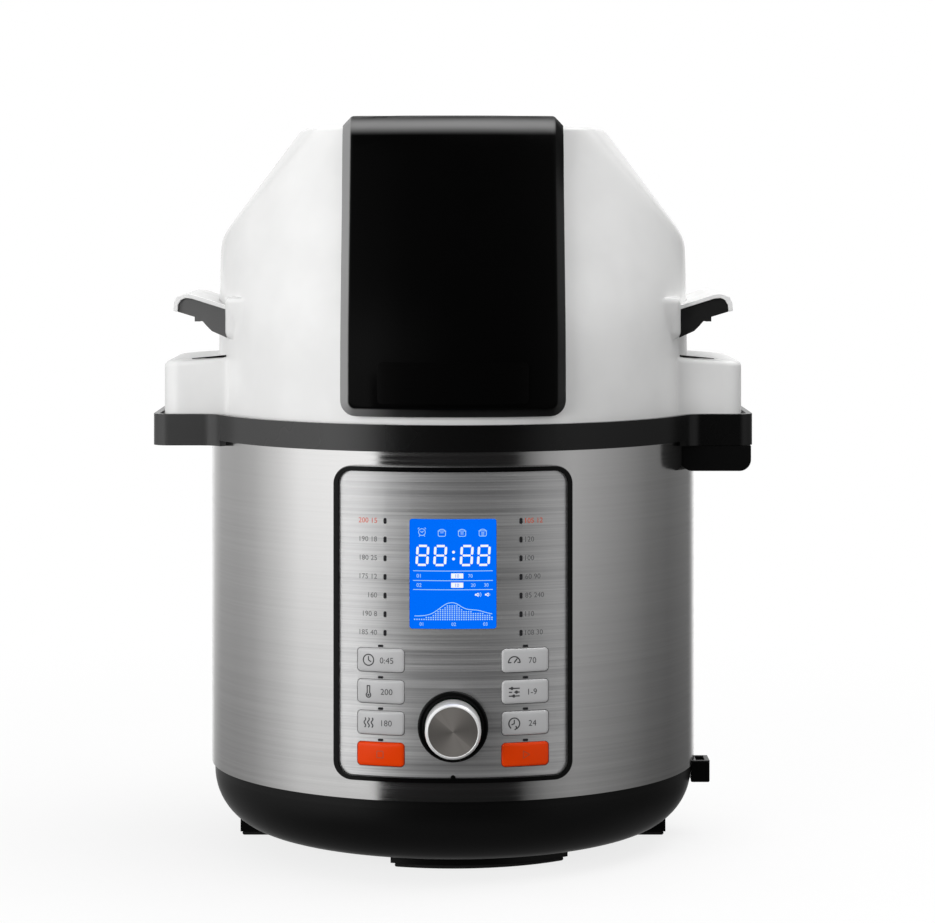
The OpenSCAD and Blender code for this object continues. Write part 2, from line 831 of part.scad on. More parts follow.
module sensor_spring() {
    turns = 4;
    r = sensor_r - 4;
    z0 = chamber_z - 16.9;
    pitch = (plate_top - 6.1 - z0 - 2) / turns;
    lift = asin(pitch / 4 / r);
    color("#9a9da0")
    for (i = [0:turns - 1]) translate([0, 0, z0 + 1 + (i + 0.25) * pitch]) {
        rotate([0, -lift, 0]) rotate_extrude(angle = 180, $fn = 32)
            translate([r, 0]) circle(r = 0.9, $fn = 14);
        translate([0, 0, pitch / 2]) rotate([0, lift, 0]) rotate([0, 0, 180])
            rotate_extrude(angle = 180, $fn = 32) translate([r, 0]) circle(r = 0.9, $fn = 14);
    }
}

module thermal_fuse() {
    color("#d9d9d2")
    translate([-38, -12, chamber_z - 7]) rotate([0, 90, 0]) union() {
        cylinder(r = 2.6, h = 20);
        translate([0, 0, -6]) cylinder(r = 0.8, h = 32);
        translate([-7, -1, 6]) cube([7, 2, 8]);
    }
}

module power_board() {
    color("#2a6b3c")
    union() {
        difference() {
            translate([-supply_w / 2, supply_y, supply_z]) cube([supply_w, supply_d, 1.6]);
            supply_spots() translate([0, 0, supply_z - 1]) cylinder(r = 1.6, h = 4);
        }
        translate([0, supply_y, supply_z + 1]) {
            translate([20 - supply_w / 2, 18, 0]) cube([34, 28, 20]);
            translate([-6, 20, 0]) cube([20, 16, 15]);
            translate([supply_w / 2 - 46, 14, 0]) cube([26, 22, 14]);
            for (x = [0, 16, 32]) translate([x, supply_d - 18, 0]) cylinder(r = 5, h = 17);
        }
    }
}

// ---- cooking vessels

module inner_pot() {
    color("#c4c6c8")
    rotate_extrude() union() {
        difference() {
            pan_profile(pot_r, pot_round, pot_z, rim_z);
            pan_profile(pot_r - pot_t, pot_round - pot_t, pot_z + pot_t, rim_z + 1);
        }
        translate([pot_r + 0.6, rim_z - 0.2]) circle(r = 1.7);
    }
}

module basket() {
    z0 = pot_z + basket_rise;
    t = basket_t;
    color("#303234")
    difference() {
        union() {
            difference() {
                rotate_extrude() pan_profile(basket_r, 8, z0, z0 + basket_h);
                rotate_extrude() pan_profile(basket_r - t, 8 - t, z0 + t, z0 + basket_h + 1);
            }
            translate([0, 0, z0 + basket_h - 1.2]) tube(basket_r + 2, basket_r - t, 2.4);
            for (a = [45:90:315]) rotate([0, 0, a]) translate([basket_r - 24, 0, basket_foot])
                cylinder(r = 4, h = z0 + 2 - basket_foot);
        }
        for (k = [1:4], j = [0:6 * k - 1]) rotate([0, 0, j * 60 / k])
            translate([k * basket_pitch, 0, z0 - 1]) cylinder(r = basket_hole, h = t + 2.6);
    }
}

// ---- lid

// The lid's outer body, drawn in by t on every face.
module lid_body(t, z0) {
    lean = lean_angle;
    front = lid_r - (lean_z - seat_z) * draft_k;
    // shoulders: cones about vertical axes on the far side
    far = 135;
    k = (lid_r - 1.8 - shoulder_x) / (lid_top - shoulder_z);
    low = shoulder_z - seat_z + 4;
    r1 = far + lid_r - 1.8 + low * k - t * 1.18;
    tall = lid_h + 22.5;
    intersection() {
        translate([0, 0, seat_z - 3]) cylinder(r1 = lid_r - t, r2 = lid_r - t - tall * draft_k, h = tall);
        translate([0, lean_r * cos(lean) - front, lean_z - lean_r * sin(lean)])
            rotate([-lean, 0, 0]) cylinder(r = lean_r - t, h = 700, center = true);
        translate([-far, 0, shoulder_z - low]) cylinder(r1 = r1, r2 = r1 - tall * k, h = tall);
        translate([far, 0, shoulder_z - low]) cylinder(r1 = r1, r2 = r1 - tall * k, h = tall);
        translate([-250, -250, z0]) cube([500, 500, lid_top - t - z0]);
    }
}

module lid_ear(t, z0) {
    intersection() {
        translate([0, 0, z0]) linear_extrude(height = lid_ear_h + 10)
            ear_plan(lid_r - 1, lid_ear_x - t, lid_ear_half - t, ear_corner - t, 10 + t);
        translate([lid_ear_x, 0, lid_ear_z - 2.3 - t]) rotate([0, 9.5, 0])
            translate([-120, -80, -80]) cube([150, 160, 80]);
    }
}

module lid_housing() {
    color("#f2f2f2")
    difference() {
        union() {
            lid_body(0, seat_z);
            for (s = [0, 1]) mirror([s, 0, 0]) {
                lid_ear(0, seat_z);
                translate([wing_x - 20, 0, wing_z + 12.5]) rotate([90, 0, 90])
                    linear_extrude(height = 20) rounded_rect(2 * wing_half + 22, 25, 5);
            }
        }
        lid_body(lid_t, seat_z - 1);
        for (s = [0, 1]) mirror([s, 0, 0]) lid_ear(lid_t, seat_z - 1);
        // the air outlet at the rear
        translate([0, lid_r + 10, outlet_z]) rotate([90, 0, 0])
            linear_extrude(height = 30) rounded_rect(outlet_w, outlet_h, 6);
    }
}

module wing_outline(x) {
    z = wing_z;
    polygon([[x, z], [x + 9, z + 4], [x + 12, z + 7], [x + 14.6, z + 10], [x + 16, z + 10],
        [x + 16, z + 9.8], [x + 19.4, z + 9.8], [x + 19.4, z + 12.6], [x + 29.6, z + 15.7],
        [x + 29.2, z + 20], [x + 27.5, z + 22.8], [x + 25, z + 24], [x + 21, z + 23.6],
        [x, z + 17]]);
}

module wing(s) {
    difference() {
        mirror([s, 0, 0]) translate([0, wing_half, 0]) rotate([90, 0, 0])
            linear_extrude(height = 2 * wing_half) wing_outline(wing_x + 0.1);
        translate([0, 0, seat_z]) cylinder(r1 = lid_r + 0.1, r2 = lid_r + 0.1 - 200 * draft_k, h = 200);
    }
}

module wing_left() {
    color("#1c1c1c") wing(1);
}

module wing_right() {
    color("#1c1c1c") wing(0);
}

module wing_cover(s) {
    x = wing_x + 0.1;
    z = wing_z;
    t = cover_t;
    difference() {
        mirror([s, 0, 0]) translate([0, wing_half + t, 0]) rotate([90, 0, 0])
            linear_extrude(height = 2 * (wing_half + t))
                polygon([[x, z + 17.1], [x + 21, z + 23.7], [x + 25, z + 24.1], [x + 27.6, z + 22.9],
                    [x + 29.3, z + 20.1], [x + 29.7, z + 15.7], [x + 29.7 + t, z + 16.5],
                    [x + 29.3 + t, z + 21], [x + 28.5 + t * 0.7, z + 23 + t * 0.7],
                    [x + 25.5, z + 24.1 + t], [x + 20.6, z + 23.7 + t], [x, z + 17.1 + t]]);
        translate([0, 0, seat_z]) cylinder(r1 = lid_r + 0.1, r2 = lid_r + 0.1 - 200 * draft_k, h = 200);
    }
}

module wing_cover_left() {
    color("#f4f4f4") wing_cover(1);
}

module wing_cover_right() {
    color("#f4f4f4") wing_cover(0);
}

// The fascia's outer body, drawn in by t on every face.
module fascia_body(t) {
    lean = lean_angle;
    front = lid_r - (lean_z - seat_z) * draft_k;
    top = lid_top + fascia_rise - t;
    z0 = fascia_z + t;
    x = fascia_x - t;
    r = 9 - t;
    e = 3.5 - t;
    intersection() {
        translate([0, 0, z0]) cylinder(r = lid_r + fascia_proud - t, h = top - z0);
        translate([0, lean_r * cos(lean) - front, lean_z - lean_r * sin(lean)])
            rotate([-lean, 0, 0]) cylinder(r = lean_r + fascia_proud - 1 - t, h = 700, center = true);
        union() {
            translate([-100, -250, 0]) cube([200, 190, 600]);
            translate([0, 0, lid_top - 2]) cylinder(r = lid_r - 7 - t, h = 30);
        }
        translate([0, 200, 0]) rotate([90, 0, 0]) linear_extrude(height = 400) union() {
            translate([-x, z0 + r]) square([2 * x, top - z0 - r - e]);
            translate([r - x, z0]) square([2 * (x - r), r + 1]);
            translate([e - x, top - e - 1]) square([2 * (x - e), e + 1]);
            for (s = [-1, 1]) {
                translate([s * (x - r), z0 + r]) circle(r = r);
                translate([s * (x - e), top - e]) circle(r = e);
            }
        }
    }
}

module insert_shape(w, h, r0, r1) {
    intersection() {
        translate([0, 0, fascia_z]) tube(r1, r0, 60);
        front_block(w, h, 3, fascia_z + 8 + insert_h / 2, body_r / 2, body_r + 60);
    }
}

module fascia() {
    color("#0a0a0a")
    difference() {
        fascia_body(0);
        fascia_body(3);
        lid_body(-0.1, seat_z - 2);
        insert_shape(insert_w + 0.4, insert_h + 0.4, lid_r + fascia_proud - 1.2,
            lid_r + fascia_proud + 5);
    }
}

module fascia_insert() {
    color("#141414")
    insert_shape(insert_w, insert_h, lid_r + fascia_proud - 1.1, lid_r + fascia_proud + 0.1);
}

module lid_underplate() {
    color("#2b2c2e")
    translate([0, 0, under_z]) tube(lid_r - lid_t - gap - 0.2, shield_r - 3, 3);
}

module seal_ring() {
    color("#7b7f84")
    translate([0, 0, rim_z + 1.5 + gap])
        tube(pot_r + 6, pot_r - 5, under_z - rim_z - 1.5 - gap);
}

module heat_shield() {
    color("#b4b6b8")
    difference() {
        union() {
            translate([0, 0, shield_z]) cylinder(r = shield_r, h = shield_h);
            translate([0, 0, shield_z]) cylinder(r = shield_r + 6, h = 1.2);
        }
        translate([0, 0, shield_z - 1]) cylinder(r = shield_r - shield_t, h = shield_h + 1 - shield_t);
        cylinder(r = 6, h = 500);
        for (x = [-8, 8]) translate([x, coil_r, 0]) cylinder(r = coil_rod - 0.2, h = 500);
        translate([-probe_x, 0, 0]) cylinder(r = 3.2, h = 500);
        for (a = [0:30:330]) rotate([0, 0, a]) translate([30, 0, shield_top - 5])
            cylinder(r = 4, h = 10);
    }
}

module heating_coil() {
    z = coil_z;
    color("#4b3f3a")
    union() {
        for (r = [coil_r - coil_step, coil_r])
            translate([0, 0, z]) rotate_extrude() translate([r, 0]) circle(r = coil_rod);
        translate([0, -coil_r, z]) rotate([-90, 0, 0]) cylinder(r = coil_rod - 0.6, h = coil_step);
        for (x = [-8, 8]) translate([x, coil_r, z])
            cylinder(r = coil_rod - 1, h = shield_top - z + 8);
    }
}

module coil_guard() {
    z = shield_z + 2.5;
    color("#85888b")
    union() {
        for (r = [guard_pitch:guard_pitch:4 * guard_pitch])
            translate([0, 0, z]) rotate_extrude() translate([r, 0]) circle(r = guard_rod);
        translate([0, 0, z]) rotate_extrude() translate([shield_r - 3, 0]) circle(r = guard_rod);
        for (a = [0:60:300]) rotate([0, 0, a]) translate([guard_pitch - 2, 0, z])
            rotate([0, 90, 0]) cylinder(r = guard_rod - 0.1, h = shield_r - guard_pitch - 1);
    }
}

module hot_fan() {
    z = hot_z;
    color("#9b9ea1")
    union() {
        translate([0, 0, z + 4]) tube(14, shaft_r + fit, hot_blade);
        translate([0, 0, z + hot_blade]) tube(hot_fan_r, 13, 1.2);
        for (a = [0:30:330]) rotate([0, 0, a]) translate([26, -0.8, z])
            cube([hot_fan_r - 27, 1.6, hot_blade + 0.5]);
    }
}

module fan_shaft() {
    color("#caccd0")
    translate([0, 0, hot_z + 2]) cylinder(r = shaft_r, h = cool_z + cool_blade - hot_z);
}

module cooling_fan() {
    color("#3a3c3f")
    union() {
        translate([0, 0, cool_z]) tube(13, shaft_r + fit, cool_blade);
        translate([0, 0, cool_z]) tube(cool_fan_r, 12, 1.2);
        for (a = [0:40:320]) rotate([0, 0, a]) translate([22, -0.8, cool_z + 1])
            cube([cool_fan_r - 23, 1.6, cool_blade]);
    }
}

module motor() {
    color("#5f6266")
    difference() {
        union() {
            translate([0, 0, motor_z + 2]) cylinder(r = motor_r, h = motor_h);
            translate([0, 0, motor_z + 2]) cylinder(r = 12, h = motor_h + 5);
        }
        translate([0, 0, motor_z - 5]) cylinder(r = shaft_r + fit, h = motor_h + 26);
        for (a = [0:45:315]) rotate([0, 0, a]) translate([motor_r - 9, 0, motor_z + motor_h - 4])
            cylinder(r = 4, h = 12);
    }
}

module motor_bracket() {
    color("#94979a")
    difference() {
        union() {
            translate([0, 0, motor_z]) cylinder(r = bracket_r, h = 2);
            for (a = [45:90:315]) rotate([0, 0, a]) translate([bracket_r - 8, 0, shield_top])
                cylinder(r = 5, h = bracket_h + 1);
        }
        translate([0, 0, motor_z - 2]) cylinder(r = 8, h = 6);
    }
}

module coupler_plug() {
    color("#202020")
    union() {
        translate([socket_x - 7, -18, seat_z + 0.4]) cube([14, 36, 18]);
        pin_spots() translate([0, 0, seat_z - 17]) cylinder(r = 2, h = 20);
        translate([socket_x - 7, -24, seat_z + 12]) cube([14, 48, 3]);
    }
}

module rear_grille() {
    color("#1a1a1a")
    difference() {
        intersection() {
            translate([0, 0, outlet_z - outlet_h]) tube(lid_r - 3.6, lid_r - 6.6, 2 * outlet_h);
            translate([0, lid_r + 10, outlet_z]) rotate([90, 0, 0])
                linear_extrude(height = 60) rounded_rect(outlet_w - 0.6, outlet_h - 0.6, 5.7);
        }
        for (i = [-5:5])
            translate([i * slot_pitch - slot_w / 2, lid_r - 30, outlet_z + 6 - outlet_h / 2])
                cube([slot_w, 60, outlet_h - 12]);
    }
}

module temp_probe() {
    color("#b9bbbd")
    translate([-probe_x, 0, shield_z + 8]) union() {
        cylinder(r = 2.5, h = shield_h + 2);
        sphere(r = 2.5);
        translate([0, 0, shield_h - 8]) cylinder(r = 5.5, h = 3);
    }
}

base_tray();
foot_pad_front();
foot_pad_rear();
foot_pad_left();
foot_pad_right();
tray_screws();
outer_shell();
rim_ring();
connector_housing();
connector_socket();
spoon_bracket();
mains_inlet();
cup_bracket();
condensate_cup();
panel_frame();
panel_plate();
display_window();
display_module();
control_board();
light_guide_left();
light_guide_right();
knob_bezel();
encoder();
knob();
button_left_1();
button_left_2();
button_left_3();
button_left_4();
button_right_1();
button_right_2();
button_right_3();
button_right_4();
cooking_chamber();
heating_plate();
sensor_plunger();
sensor_spring();
thermal_fuse();
power_board();
inner_pot();
basket();
lid_housing();
fascia();
fascia_insert();
lid_underplate();
seal_ring();
heat_shield();
heating_coil();
coil_guard();
hot_fan();
fan_shaft();
cooling_fan();
motor();
motor_bracket();
wing_left();
wing_right();
wing_cover_left();
wing_cover_right();
coupler_plug();
rear_grille();
temp_probe();
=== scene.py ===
"""Looks of the electric pressure cooker with its air-fry lid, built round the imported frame."""

import json
import math
from types import SimpleNamespace

import bmesh
import bpy
from bpy.props import FloatProperty, FloatVectorProperty, PointerProperty
from mathutils import Matrix, Vector


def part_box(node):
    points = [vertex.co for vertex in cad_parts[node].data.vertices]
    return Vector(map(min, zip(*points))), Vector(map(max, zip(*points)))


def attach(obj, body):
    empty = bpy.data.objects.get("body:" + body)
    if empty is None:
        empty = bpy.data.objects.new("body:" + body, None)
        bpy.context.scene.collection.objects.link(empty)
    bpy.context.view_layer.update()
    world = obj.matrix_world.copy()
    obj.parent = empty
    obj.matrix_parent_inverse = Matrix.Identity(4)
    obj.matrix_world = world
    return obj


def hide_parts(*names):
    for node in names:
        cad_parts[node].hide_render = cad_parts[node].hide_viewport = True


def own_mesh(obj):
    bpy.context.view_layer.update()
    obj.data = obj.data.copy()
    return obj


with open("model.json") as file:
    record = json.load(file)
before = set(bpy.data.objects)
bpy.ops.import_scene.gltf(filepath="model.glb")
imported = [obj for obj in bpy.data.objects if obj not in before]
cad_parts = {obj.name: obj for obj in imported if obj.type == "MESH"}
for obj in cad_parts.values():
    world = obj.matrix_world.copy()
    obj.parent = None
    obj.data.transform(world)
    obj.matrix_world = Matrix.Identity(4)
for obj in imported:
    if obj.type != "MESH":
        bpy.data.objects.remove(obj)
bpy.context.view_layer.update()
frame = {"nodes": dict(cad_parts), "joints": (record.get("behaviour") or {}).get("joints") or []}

bl_info = {
    "name": "Pressure cooker with air-fry lid",
    "version": (1, 0, 0),
    "blender": (4, 5, 0),
    "location": "3D View > Sidebar > Cooker",
    "description": "Dresses the packed cooker: mouldings, brushed steel, panel and studio",
    "category": "Add Mesh",
}

MM = 0.001
LEAN = math.radians(20)  # the lean of the lid's front
SIDES = ((-1, "left"), (1, "right"))


def length(name, text, default):
    return FloatProperty(
        name=name, description=text, default=default, unit="LENGTH", precision=4
    )


def colour(name, text, default):
    return FloatVectorProperty(
        name=name, description=text, default=default, subtype="COLOR", size=3, min=0, max=1
    )


class CookerSizes(bpy.types.PropertyGroup):
    """Sizes of the dressed pieces, in metres."""

    lid_radius: length("Lid radius", "Radius of the lid's wall where it rests", 0.1465)
    lid_seat: length("Lid seat", "Height of the surface that the lid rests on", 0.261)
    lid_top: length("Lid top", "Height of the lid's flat top", 0.4385)
    lid_wall: length("Lid wall", "Wall thickness of the lid housing", 0.003)
    lean_height: length("Lean height", "Height where the front starts to lean back", 0.318)
    lean_radius: length("Lean radius", "Radius of the leaning front", 0.158)
    shoulder_height: length("Shoulder height", "Height where the side shoulders start", 0.3705)
    shoulder_half: length("Shoulder half width", "Half width of the flat top", 0.094)
    ear_reach: length("Ear reach", "Reach of the lid's ears from the axis", 0.176)
    ear_half: length("Ear half length", "Half length of the lid's ears", 0.051)
    ear_top: length("Ear top", "Height of an ear's outer top edge", 0.297)
    fascia_half: length("Fascia half width", "Half width of the black fascia", 0.0654)
    fascia_radius: length("Fascia radius", "Radius of the fascia's lower front", 0.162)
    fascia_lean: length("Fascia lean radius", "Radius of the fascia's leaning front", 0.1725)
    fascia_low: length("Fascia lower edge", "Height of the fascia's lower edge", 0.2693)
    fascia_top: length("Fascia top", "Height of the fascia's top", 0.4445)
    panel_radius: length("Panel radius", "Outer radius of the panel's plate", 0.1532)
    knob_radius: length("Knob radius", "Radius of the knob", 0.016)
    button_width: length("Button width", "Width of a button", 0.0282)
    button_height: length("Button height", "Height of a button", 0.0136)


class CookerColours(bpy.types.PropertyGroup):
    """Colours of the finishes."""

    lid_white: colour("Lid white", "Glossy white moulding", (0.86, 0.86, 0.855))
    housing_black: colour("Housing black", "Satin black moulding", (0.003, 0.003, 0.003))
    fascia_black: colour("Fascia black", "Piano black moulding", (0.0008, 0.0008, 0.0008))
    wing_grey: colour("Grip grey", "Dark grips of the lid", (0.015, 0.015, 0.015))
    body_steel: colour("Body steel", "Brushed steel of the body", (0.74, 0.735, 0.73))
    plate_steel: colour("Plate steel", "Brushed plate of the control panel", (0.9, 0.9, 0.905))
    button_grey: colour("Button grey", "Silver grey buttons", (0.50, 0.50, 0.505))
    button_orange: colour("Button orange", "Orange buttons", (0.78, 0.05, 0.001))
    ink_dark: colour("Dark ink", "Marks on the panel and the buttons", (0.13, 0.13, 0.135))
    ink_red: colour("Red ink", "Marks of the first mode of each column", (0.72, 0.09, 0.03))
    screen_blue: colour("Screen blue", "Backlight of the display", (0.0, 0.155, 1.0))
    screen_white: colour("Screen white", "Figures of the display", (0.93, 0.97, 1.0))
    aluminium: colour("Aluminium", "Pot, heater and knob", (0.80, 0.80, 0.81))
    rubber_black: colour("Rubber black", "Foot pads", (0.008, 0.008, 0.008))


def in_mm(context):
    """The chosen sizes by name, in millimetres."""
    sizes = context.scene.cooker_sizes
    return SimpleNamespace(**{k: getattr(sizes, k) / MM for k in CookerSizes.__annotations__})


# ---- shader arithmetic


class Wire:
    """A shader socket that takes part in plain arithmetic."""

    def __init__(self, graph, socket):
        self.graph = graph
        self.socket = socket

    def math(self, operation, *values):
        inputs = dict(enumerate((self, *values)))
        return self.graph.node("ShaderNodeMath", {"operation": operation}, inputs)

    def __add__(self, other):
        return self.math("ADD", other)

    def __sub__(self, other):
        return self.math("SUBTRACT", other)

    def __mul__(self, other):
        return self.math("MULTIPLY", other)

    def __rsub__(self, other):
        return self.graph.node("ShaderNodeMath", {"operation": "SUBTRACT"}, {0: other, 1: self})

    __radd__ = __add__
    __rmul__ = __mul__

    def clamp(self):
        settings = {"operation": "ADD", "use_clamp": True}
        return self.graph.node("ShaderNodeMath", settings, {0: self, 1: 0.0})

    def smooth(self, low, high, to_low=0.0, to_high=1.0):
        """Runs softly from one value to another as this one goes from low to high."""
        inputs = {"Value": self, "From Min": low, "From Max": high}
        inputs |= {"To Min": to_low, "To Max": to_high}
        settings = {"interpolation_type": "SMOOTHSTEP"}
        return self.graph.node("ShaderNodeMapRange", settings, inputs)


class Graph:
    """A node tree whose nodes all come from one method."""

    def __init__(self, tree):
        self.nodes = tree.nodes
        self.links = tree.links

    def feed(self, socket, value):
        if isinstance(value, Wire):
            self.links.new(value.socket, socket)
        else:
            socket.default_value = value

    def node(self, kind, settings=None, inputs=None, output=0):
        made = self.nodes.new(kind)
        for key, value in (settings or {}).items():
            if key == "stops":
                ramp = made.color_ramp
                for place, _ in value[1:-1]:
                    ramp.elements.new(place)
                for stop, (place, tone) in zip(ramp.elements, value):
                    stop.position = place
                    stop.color = shade(tone)
            else:
                setattr(made, key, value)
        for key, value in (inputs or {}).items():
            self.feed(made.inputs[key], value)
        return Wire(self, made.outputs[output])

    def axes(self, vector):
        made = self.node("ShaderNodeSeparateXYZ", inputs={0: vector})
        return [Wire(self, output) for output in made.socket.node.outputs]

    def vector(self, operation, *values, output=0):
        inputs = dict(enumerate(values))
        return self.node("ShaderNodeVectorMath", {"operation": operation}, inputs, output)

    def grey(self, value):
        """A varying number as a colour."""
        return self.node("ShaderNodeCombineXYZ", inputs={0: value, 1: value, 2: value})

    def blend(self, factor, first, second, mode="MIX"):
        settings = {"data_type": "RGBA", "blend_type": mode}
        inputs = {0: factor, 6: shade(first), 7: shade(second)}
        return self.node("ShaderNodeMix", settings, inputs, output=2)


def shade(value):
    """A colour socket's value, from a wire, a colour, or one number for a grey."""
    if isinstance(value, Wire):
        return value
    return (*((value,) * 3 if isinstance(value, float) else tuple(value)[:3]), 1.0)


class Finish(Graph):
    """A material built on one Principled shader, with its middle colour and roughness."""

    def __init__(self, name, base, roughness, metallic=0.0):
        self.material = bpy.data.materials.new(name)
        self.material.use_nodes = True
        super().__init__(self.material.node_tree)
        self.base, self.roughness = base, roughness
        self.shader = self.nodes["Principled BSDF"]
        self.set(**{"Base Color": shade(base), "Metallic": metallic})
        # object coordinates: metres in the frame that all pieces share
        self.here = self.node("ShaderNodeTexCoord", output="Object")

    def set(self, **values):
        for key, value in values.items():
            self.feed(self.shader.inputs[key], value)

    def noise(self, scale, detail=2.0, rough=0.5, at=None):
        inputs = {"Vector": at or self.here, "Scale": scale, "Detail": detail}
        return self.node("ShaderNodeTexNoise", inputs=inputs | {"Roughness": rough})

    def between(self, factor, low, high):
        """The base colour, made darker or lighter by these factors."""
        return self.blend(factor, mixed(self.base, low), mixed(self.base, high))

    def surface(self, tone, wander, spread, specular=None):
        """Sets the colour, and a roughness that wanders about its middle by the spread."""
        rough = wander * spread + (self.roughness - spread / 2)
        self.set(**{"Base Color": tone, "Roughness": rough})
        if specular is not None:
            self.set(**{"Specular IOR Level": specular})

    def bump(self, height, distance, strength):
        """Adds the relief and returns the material, which is then done."""
        inputs = {"Height": height, "Distance": distance, "Strength": strength}
        self.set(Normal=self.node("ShaderNodeBump", inputs=inputs))
        return self.material


def mixed(base, factor):
    """A colour made lighter or darker."""
    return tuple(min(1.0, c * factor) for c in base)


def moulded(name, base, roughness, grain=0.00002, spread=0.06, specular=0.5):
    """Moulded plastic: a fine texture, and gloss and tone that wander a little."""
    finish = Finish(name, base, roughness)
    slow = finish.noise(22.0, 3.0)
    tone = finish.between(slow.smooth(0.3, 0.7), 0.965, 1.03)
    finish.surface(tone, slow, spread, specular)
    return finish.bump(finish.noise(1600.0), grain, 0.5)


def gloss_black(name, base, half, low):
    """Piano black moulding: satin along its sloped rim and its brow, whose grey colours are
    painted light.
    """
    finish = Finish(name, base, 0.325)
    haze = finish.noise(30.0, 3.0)
    x, y, z = finish.axes(finish.here)
    # distance in from the outline, whose lower corners are rounded
    corner, slope, soft = 0.009, 0.0055, 0.0012
    across = (x.math("ABSOLUTE") - (half - corner)).math("MAXIMUM", 0.0)
    down = ((low + corner) - z).math("MAXIMUM", 0.0)
    away = (across * across + down * down).math("SQRT")
    rim = away.smooth(corner - slope, corner - slope + soft)
    # the brow is the rounded edge between the front and the top; its grey colour is a painted
    # highlight of the top light
    brow = z.smooth(0.4322, 0.4387) * z.smooth(0.4443, 0.4391)
    # painted light: the sloped rim is lighter on the left, lightest at its far left edge, and
    # near black on the right
    edge = finish.blend(x.smooth(-0.05, 0.0), 0.05, 0.006)
    edge = finish.blend(x.smooth(-0.03, -0.058), edge, 0.29)
    face = finish.blend(brow, finish.between(haze, 0.8, 1.2), 0.2)
    finish.surface(finish.blend(rim, face, edge), haze, 0.05, 0.03)
    gloss = (rim + brow).clamp()
    finish.set(**{"Coat Weight": (1 - gloss) * 0.06, "Coat Roughness": 0.06})
    return finish.bump(finish.noise(120.0, 1.0), 0.000003, 0.3)


def satin(name, base, start, stop, wear_and_painted_light, roughness, specular):
    """Satin moulding with painted light: its colour is greyer toward the left, standing in for
    the light from that side.
    """
    finish = Finish(name, base, roughness)
    # painted light: the colour is lifted toward the left by the factor given
    left = finish.axes(finish.here)[0].smooth(start, stop)
    finish.surface(finish.between(left, 0.9, wear_and_painted_light), finish.noise(22.0, 3.0), 0.06, specular)
    return finish.bump(finish.noise(1600.0), 0.00001, 0.5)


def brushed(name, base, roughness, streak, contrast, metallic=1.0):
    """Brushed metal whose streaks run round the upright axis."""
    finish = Finish(name, base, roughness, metallic)
    fine, middle, broad = (
        finish.noise(1.0, detail, at=finish.vector("MULTIPLY", finish.here, (wide, wide, tall)))
        for wide, tall, detail in ((9, 2600, 2.0), (4, 700, 3.0), (2.5, 190, 3.0))
    )
    lines = fine * 0.35 + middle * 0.4 + broad * 0.25
    wear_and_painted_light = lines.smooth(0.5 - streak, 0.5 + streak)
    finish.surface(finish.between(wear_and_painted_light, 1 - contrast, 1 + contrast * 0.8), wear_and_painted_light, 0.12)
    return finish.bump(fine * 0.6 + middle * 0.4, 0.000002, 0.6)


def cast_metal(name, base, roughness, grain=0.00005, metallic=1.0):
    """Plain metal with a fine grain and handling marks."""
    finish = Finish(name, base, roughness, metallic)
    cloud = finish.noise(35.0, 4.0, 0.6)
    finish.surface(finish.between(cloud.smooth(0.3, 0.75), 0.9, 1.05), cloud, 0.16)
    return finish.bump(finish.noise(900.0), grain, 0.4)


def turned(name, base, roughness, centre, pitch, relief, metallic, fan=0.0):
    """Turned metal: fine rings round the axis that points forward from the centre."""
    finish = Finish(name, base, roughness, metallic)
    about = finish.vector("SUBTRACT", finish.here, centre)
    flat = finish.vector("MULTIPLY", about, (1.0, 0.0, 1.0))
    radius = finish.vector("LENGTH", flat, output="Value")
    line = finish.node("ShaderNodeCombineXYZ", inputs={0: radius * (1 / pitch)})
    rings = finish.noise(1.0, 3.0, 0.6, line)
    tone = finish.between(rings.smooth(0.3, 0.7), 0.85, 1.12)
    if fan:
        # painted reflection: two pairs of lighter sectors, one wide and one thin, for the
        # fan-shaped highlights of the turned face
        across, depth, up = finish.axes(about)
        turn = across.math("ARCTAN2", up)
        wide = (turn * 2.0 + 0.35).math("COSINE") * 0.5 + 0.5
        thin = (turn * 2.0 + 1.45).math("COSINE").smooth(0.93, 1.0)
        tone = finish.blend((wide + thin * 0.5).clamp() * fan, tone, mixed(base, 2.0))
    finish.surface(tone, rings, 0.1)
    return finish.bump(rings, relief, 0.8)


def printed(name, base, glow=0.0, roughness=0.45):
    """Printed ink or a lit screen mark, with a slight unevenness."""
    finish = Finish(name, base, roughness)
    specks = finish.noise(2600.0)
    tone = finish.between(specks.smooth(0.35, 0.7), 0.93, 1.05)
    if glow:
        finish.surface(shade(0.0), specks, 0.1, 0.0)
        finish.set(**{"Emission Color": tone, "Emission Strength": glow})
    else:
        finish.surface(tone, specks, 0.1)
    return finish.material


FINISHES = {}


